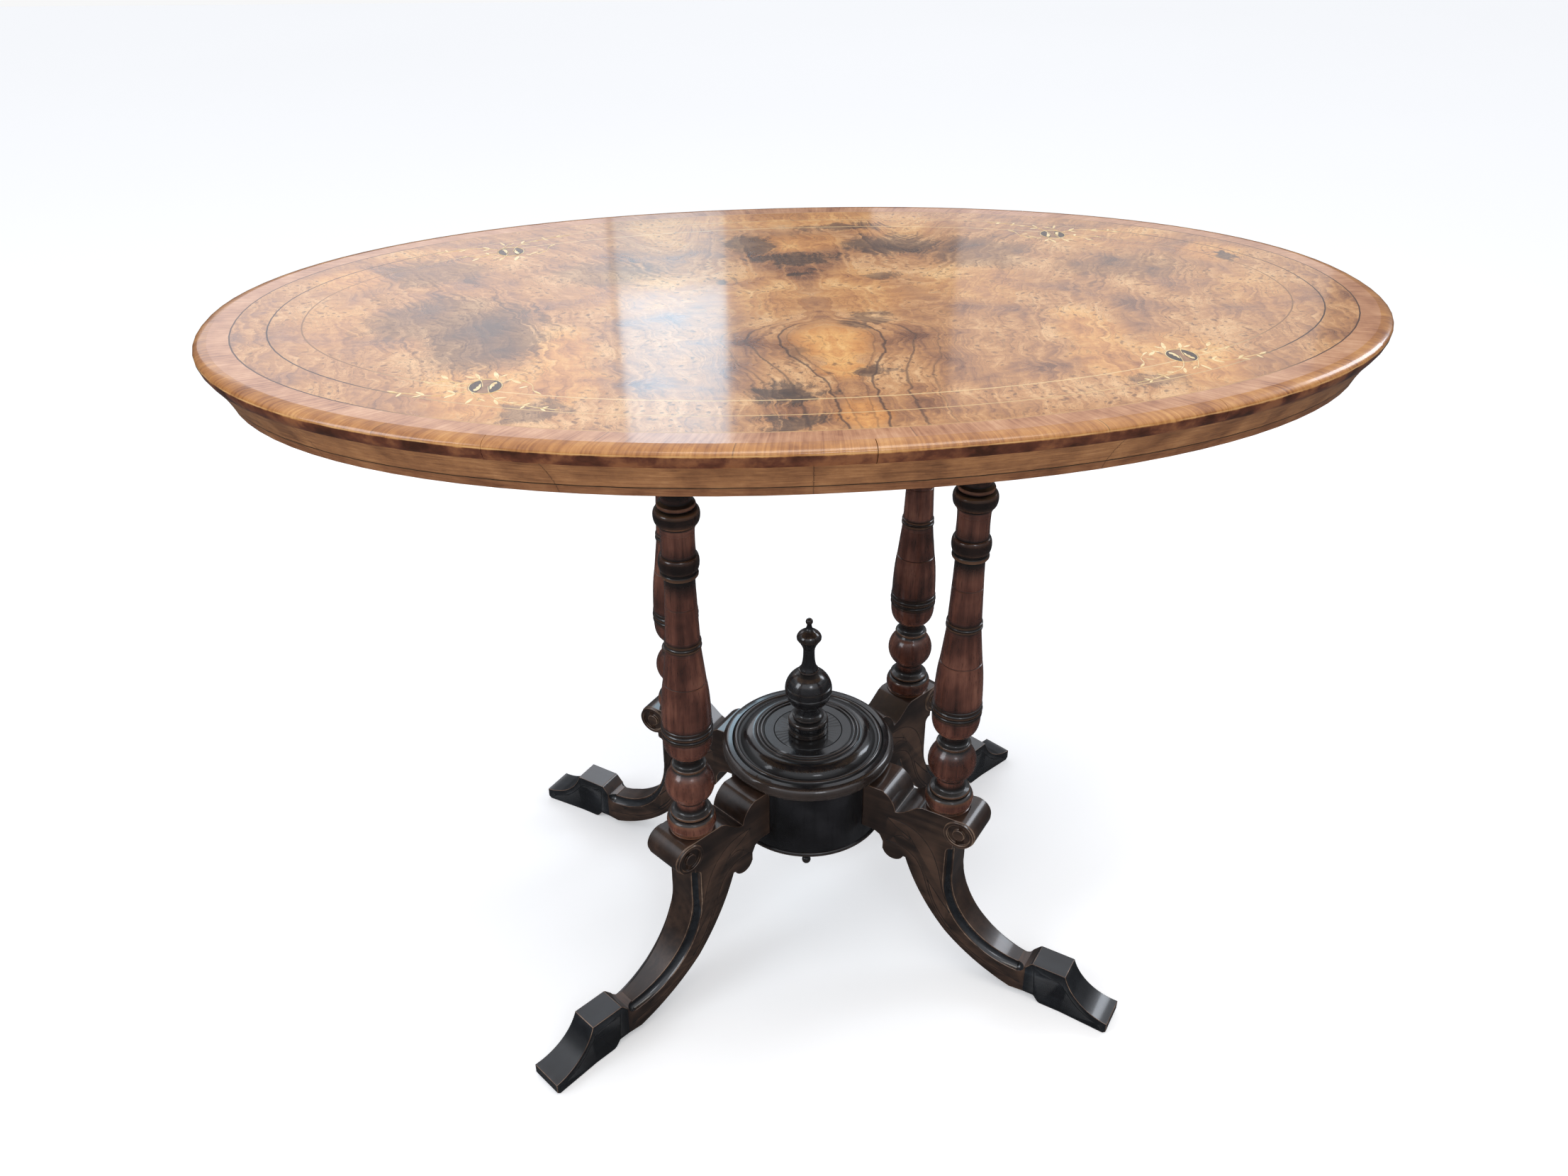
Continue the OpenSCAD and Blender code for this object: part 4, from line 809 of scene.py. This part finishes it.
def walnut_finish(name, tones, grain_axis, gloss, dirt, rub_and_highlight, dirt_amount=0.9, streak=1.0):
    """Polished walnut cut from a board: long grain and pores, dirt in hollows, ridges rubbed pale with a
    painted highlight.
    """
    finish, tree, shader = new_finish(name, gloss, 0.65, 0.1)
    board = add_node(tree, "Attribute board", {}).outputs["Vector"]
    stretch = [420.0, 420.0, 420.0]
    stretch[grain_axis] = 16.0
    laid = add_node(tree, "VectorMath MULTIPLY", {0: board, 1: stretch})
    grain = add_node(tree, "TexNoise", {
        "Vector": laid, "Scale": 0.32, "Detail": 5.0, "Roughness": 0.6, "Distortion": 0.35})
    pores = add_node(tree, "TexNoise", {"Vector": laid, "Scale": 2.2, "Detail": 2.0, "Roughness": 0.7})
    cloud = add_node(tree, "TexNoise", {"Vector": board, "Scale": 22.0, "Detail": 3.0})
    both = add_node(tree, "Mix", {"Factor": 0.42 * streak, "A": cloud, "B": grain})
    colour = add_node(tree, "ValToRGB", {"Fac": both}, list(zip((0.34, 0.48, 0.6, 0.74), tones)))
    pore_dark = add_node(tree, "MapRange", {
        "Value": pores, "From Min": 0.44, "From Max": 0.3, "To Max": 0.6})
    pored = add_node(tree, "Mix RGBA", {"Factor": pore_dark, "A": colour, "B": tones[0]})
    stained = add_node(tree, "Attribute stained", {}).outputs["Fac"]
    black = marked(tree, pored, stained, 0.9, "#14110f")
    hollow = add_node(tree, "Attribute hollow", {}).outputs["Fac"]
    dirt_cover = add_node(tree, "MapRange SMOOTHSTEP", {
        "Value": hollow, "From Min": 0.2, "From Max": 0.7, "To Max": dirt_amount})
    dirty = add_node(tree, "Mix RGBA", {"Factor": dirt_cover, "A": black, "B": dirt})
    # Ridges get a pale tone: rubbed wear with a painted highlight
    ridge = add_node(tree, "Attribute ridge", {}).outputs["Fac"]
    ridge_wear_and_highlight = add_node(tree, "MapRange SMOOTHSTEP", {
        "Value": ridge, "From Min": 0.1, "From Max": 0.6, "To Max": 0.6})
    worn_and_highlit = marked(tree, dirty, ridge_wear_and_highlight, cloud, rub_and_highlight)
    dulled = add_node(tree, "MapRange", {"Value": hollow, "From Max": 0.7, "To Min": gloss, "To Max": 0.55})
    give_surface(tree, shader, worn_and_highlit, grain, 0.12, 0.0006)
    feed(tree, shader, {"Roughness": dulled})
    return finish


column_walnut = walnut_finish(
    "french_polished_turned_walnut", ("#2b1812", "#553025", "#754838", "#90604b"),
    2, 0.26, "#171412", "#94694a")
# Where a column is ebonised, as (lowest, highest, fade) in mm: the foot's neck, the rings over
# and under the belly, the collar with its fade, and all above the cap
ebonised = [(229, 243, 5), (287, 303, 5), (327, 342, 2), (426, 435, 2), (488, 526, 16), (553, 570, 6),
            (576, 640, 12)]
leg_angle = math.radians(37.7)
corner_turns = {"front_left": math.pi + leg_angle, "front_right": -leg_angle,
                "back_left": math.pi - leg_angle, "back_right": leg_angle}


def out_at(turn):
    """The place of a column, at its turn round the middle of the table."""
    column_ring = 0.1648
    return Matrix.Translation((column_ring * math.cos(turn), column_ring * math.sin(turn), 0))


pattern = merged_copy("column_front_left", "turned_column", 34)
pattern.data.transform(out_at(leg_angle))
closer_rings(pattern, 0.0022)
note_turning(pattern, ebonised)
pattern.data.materials.append(column_walnut)
for number, (corner, turn) in enumerate(corner_turns.items()):
    column = put("turned_column_" + corner, pattern.data.copy())
    note_board(column, Vector((0.31 * number, 0.0, 0.0)))
    column.matrix_world = out_at(turn) @ Matrix.Rotation(1.3 * number, 4, "Z")
    apply_place(column)
    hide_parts("column_" + corner)
    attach(column, "base")
bpy.data.objects.remove(pattern)


# The splay legs: sawn from thick walnut, shaped and carved by hand, and tenoned into the drum.
# Long leaf lines are cut in both sides with a parting tool, and the arrises are painted pale, as rubbed wear
# with a painted highlight.
def finish_modifier(piece, kind, **settings):
    """Adds a modifier with its settings and applies it."""
    modifier = piece.modifiers.new(kind.lower(), kind)
    for name, value in settings.items():
        setattr(modifier, name, value)
    take(piece)
    bpy.ops.object.modifier_apply(modifier=modifier.name)


def cut_away(piece, cutter):
    """Cuts the shape of a cutter out of a piece."""
    finish_modifier(piece, "BOOLEAN", operation="DIFFERENCE", solver="EXACT", object=cutter)
    bpy.data.objects.remove(cutter)


def half_thickness(x):
    """Half the thickness of a leg at a distance from the table's middle, as its plan gives it."""
    plan = [(0, 22.5), (182, 22.5), (272, 14.5), (314, 14.5), (366, 18.0)]
    for (x0, t0), (x1, t1) in zip(plan, plan[1:]):
        if x <= x1:
            return t0 + (t1 - t0) * (x - x0) / (x1 - x0)
    return plan[-1][1]


def note_wear(piece):
    """Writes how hollow and how ridged the surface is at each point, for dirt, and for wear with a painted
    highlight.
    """
    shape = bmesh.new()
    shape.from_mesh(piece.data)
    shape.normal_update()
    bend = []
    for vert in shape.verts:
        slopes = [(edge.other_vert(vert).co - vert.co).normalized().dot(vert.normal)
                  for edge in vert.link_edges]
        bend.append(max(-1.0, min(1.0, 1.6 * sum(slopes) / max(1, len(slopes)))))
    shape.free()
    note(piece, "hollow", [max(0.0, b) for b in bend])
    note(piece, "ridge", [max(0.0, -b) for b in bend])


leg_walnut = walnut_finish("french_polished_carved_walnut", ("#1a120f", "#2b1f19", "#3f2e24", "#5a4333"),
                           0, 0.28, "#12100f", "#7c5c48")
# The eased arrises: a pale tone for rubbed wear, with a painted highlight
arris_wear_and_highlight = walnut_finish("rubbed_walnut_arris_painted_highlight", ("#2a1d16", "#574133", "#88705c", "#b39c86"),
                           0, 0.34, "#1a1411", "#a98468")
# Foot and cove: near-black tones with a painted bluish sky reflection
leg_blue_sheen = walnut_finish("near_black_walnut_painted_blue_sheen", ("#0f1012", "#17191c", "#212428", "#30353a"),
                          0, 0.25, "#0d0e10", "#6d6c6c")
pattern = merged_copy("leg_front_right", "carved_leg", 30)
pattern.data.transform(Matrix.Rotation(leg_angle, 4, "Z"))
edit_all(pattern)
bpy.ops.mesh.dissolve_limited(angle_limit=math.radians(0.6))
bpy.ops.mesh.select_all(action="SELECT")
bpy.ops.mesh.remove_doubles(threshold=0.0005)
leave_edit()
for wood in (leg_walnut, arris_wear_and_highlight, leg_blue_sheen):
    pattern.data.materials.append(wood)
arris_highlight_number, blue_sheen_number = 1, 2
# The round stop of each cove by the foot is gouged clean of its last thin sliver
stop_radius = 0.00685
stop_out, stop_aside, stop_up = 0.26317, 0.01528, 0.0415
for side in (1, -1):
    bpy.ops.mesh.primitive_uv_sphere_add(segments=32, ring_count=18, radius=stop_radius,
                                         location=(stop_out, side * stop_aside, stop_up))
    gouge = bpy.context.active_object
    apply_place(gouge)
    cut_away(pattern, gouge)
# The small run-out of the cove by the foot is left as it was cut, and every other arris is eased
shape = bmesh.new()
shape.from_mesh(pattern.data)
eased = []
for edge in shape.edges:
    middle = (edge.verts[0].co + edge.verts[1].co) * 500
    run_out = 262.0 < middle.x < 274.0 and middle.z > 33.0
    eased.append(1.0 if edge.calc_face_angle(0.0) > math.radians(35) and not run_out else 0.0)
shape.free()
note(pattern, "bevel_weight_edge", eased, "EDGE")
# The bevel faces take the pale arris tone, a painted highlight over wear
finish_modifier(pattern, "BEVEL", width=0.0005, segments=2, limit_method="WEIGHT",
                material=arris_highlight_number, use_clamp_overlap=False)
# The cut lines of one side, as strings of (distance from the table's middle, height) in mm
carved_lines = [
    [(107, 184), (124, 184.5), (140, 180), (154, 169), (163, 155), (170, 136), (174, 116),
     (182, 96), (195, 76), (210, 58), (226, 44), (246, 33)],
    [(108, 152), (122, 153), (136, 148), (146, 139), (153, 124), (158, 108), (165, 90), (174, 75),
     (187, 60), (203, 46), (222, 34), (248, 24), (268, 19)],
    [(158, 119), (166, 109), (176, 96), (186, 85)],
    [(158, 119), (162, 104), (169, 88), (178, 75), (190, 62)],
    [(107, 184), (116, 176), (127, 171), (136, 166)],
    [(116, 160), (124, 167), (134, 163), (142, 156)],
    [(287.3, 41.8), (307.6, 42.1), (315.2, 35.7), (327.3, 20.8), (341.4, 11.9), (355.2, 7.9)],
    [(281.5, 42), (282.5, 30), (284.5, 9)],
]
line_width = 0.0013
line_outside = 0.25
for side in (1, -1):
    for line in carved_lines:
        cut_away(pattern, tendril("parting_line", [
            Vector((x, side * (half_thickness(x) + line_outside), z)) / 1000 for x, z in line], line_width))
# The foot and the cove along the front edge take near-black tones with a painted bluish reflection, and the
# rest is left brown
foot_start = 277.0
for face in pattern.data.polygons:
    out, aside, up = face.center * 1000
    inset = half_thickness(out) - abs(aside)
    in_cove = 0.3 < inset < 9.0 and 0.16 < abs(face.normal.y) < 0.97 and 176.0 < out and up > 30.0
    if face.material_index == 0 and (out > foot_start or in_cove):
        face.material_index = blue_sheen_number
note_wear(pattern)
finish_modifier(pattern, "WEIGHTED_NORMAL", keep_sharp=True, weight=80)
for number, (corner, turn) in enumerate(corner_turns.items()):
    leg = put("carved_leg_" + corner, pattern.data.copy())
    note_board(leg, Vector((0.0, 0.23 * number, 0.0)))
    leg.matrix_world = Matrix.Rotation(turn, 4, "Z")
    apply_place(leg)
    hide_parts("leg_" + corner)
    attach(leg, "base")
bpy.data.objects.remove(pattern)

# The hub: a turned drum with a plate under it and a moulded lid on it, a finial above and a
# drop below. All of it is walnut stained nearly black, and it keeps the brightest polish.
hub_black = walnut_finish("ebonised_polished_walnut", ("#0e0d0e", "#18181a", "#252527", "#393838"),
                          2, 0.2, "#0e0c0b", "#5c4c42", 0.8, 0.6)
for part, name in (("drum_body", "turned_drum"), ("drum_plate", "turned_plate"), ("drum_lid", "turned_lid"),
                   ("finial", "turned_finial"), ("pendant", "turned_drop")):
    turned = merged_copy(part, name, 34)
    closer_rings(turned, 0.002)
    note_turning(turned, [])
    note_board(turned, Vector((0.0, 0.0, 0.4)))
    turned.data.materials.append(hub_black)
    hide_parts(part)
    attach(turned, "base")
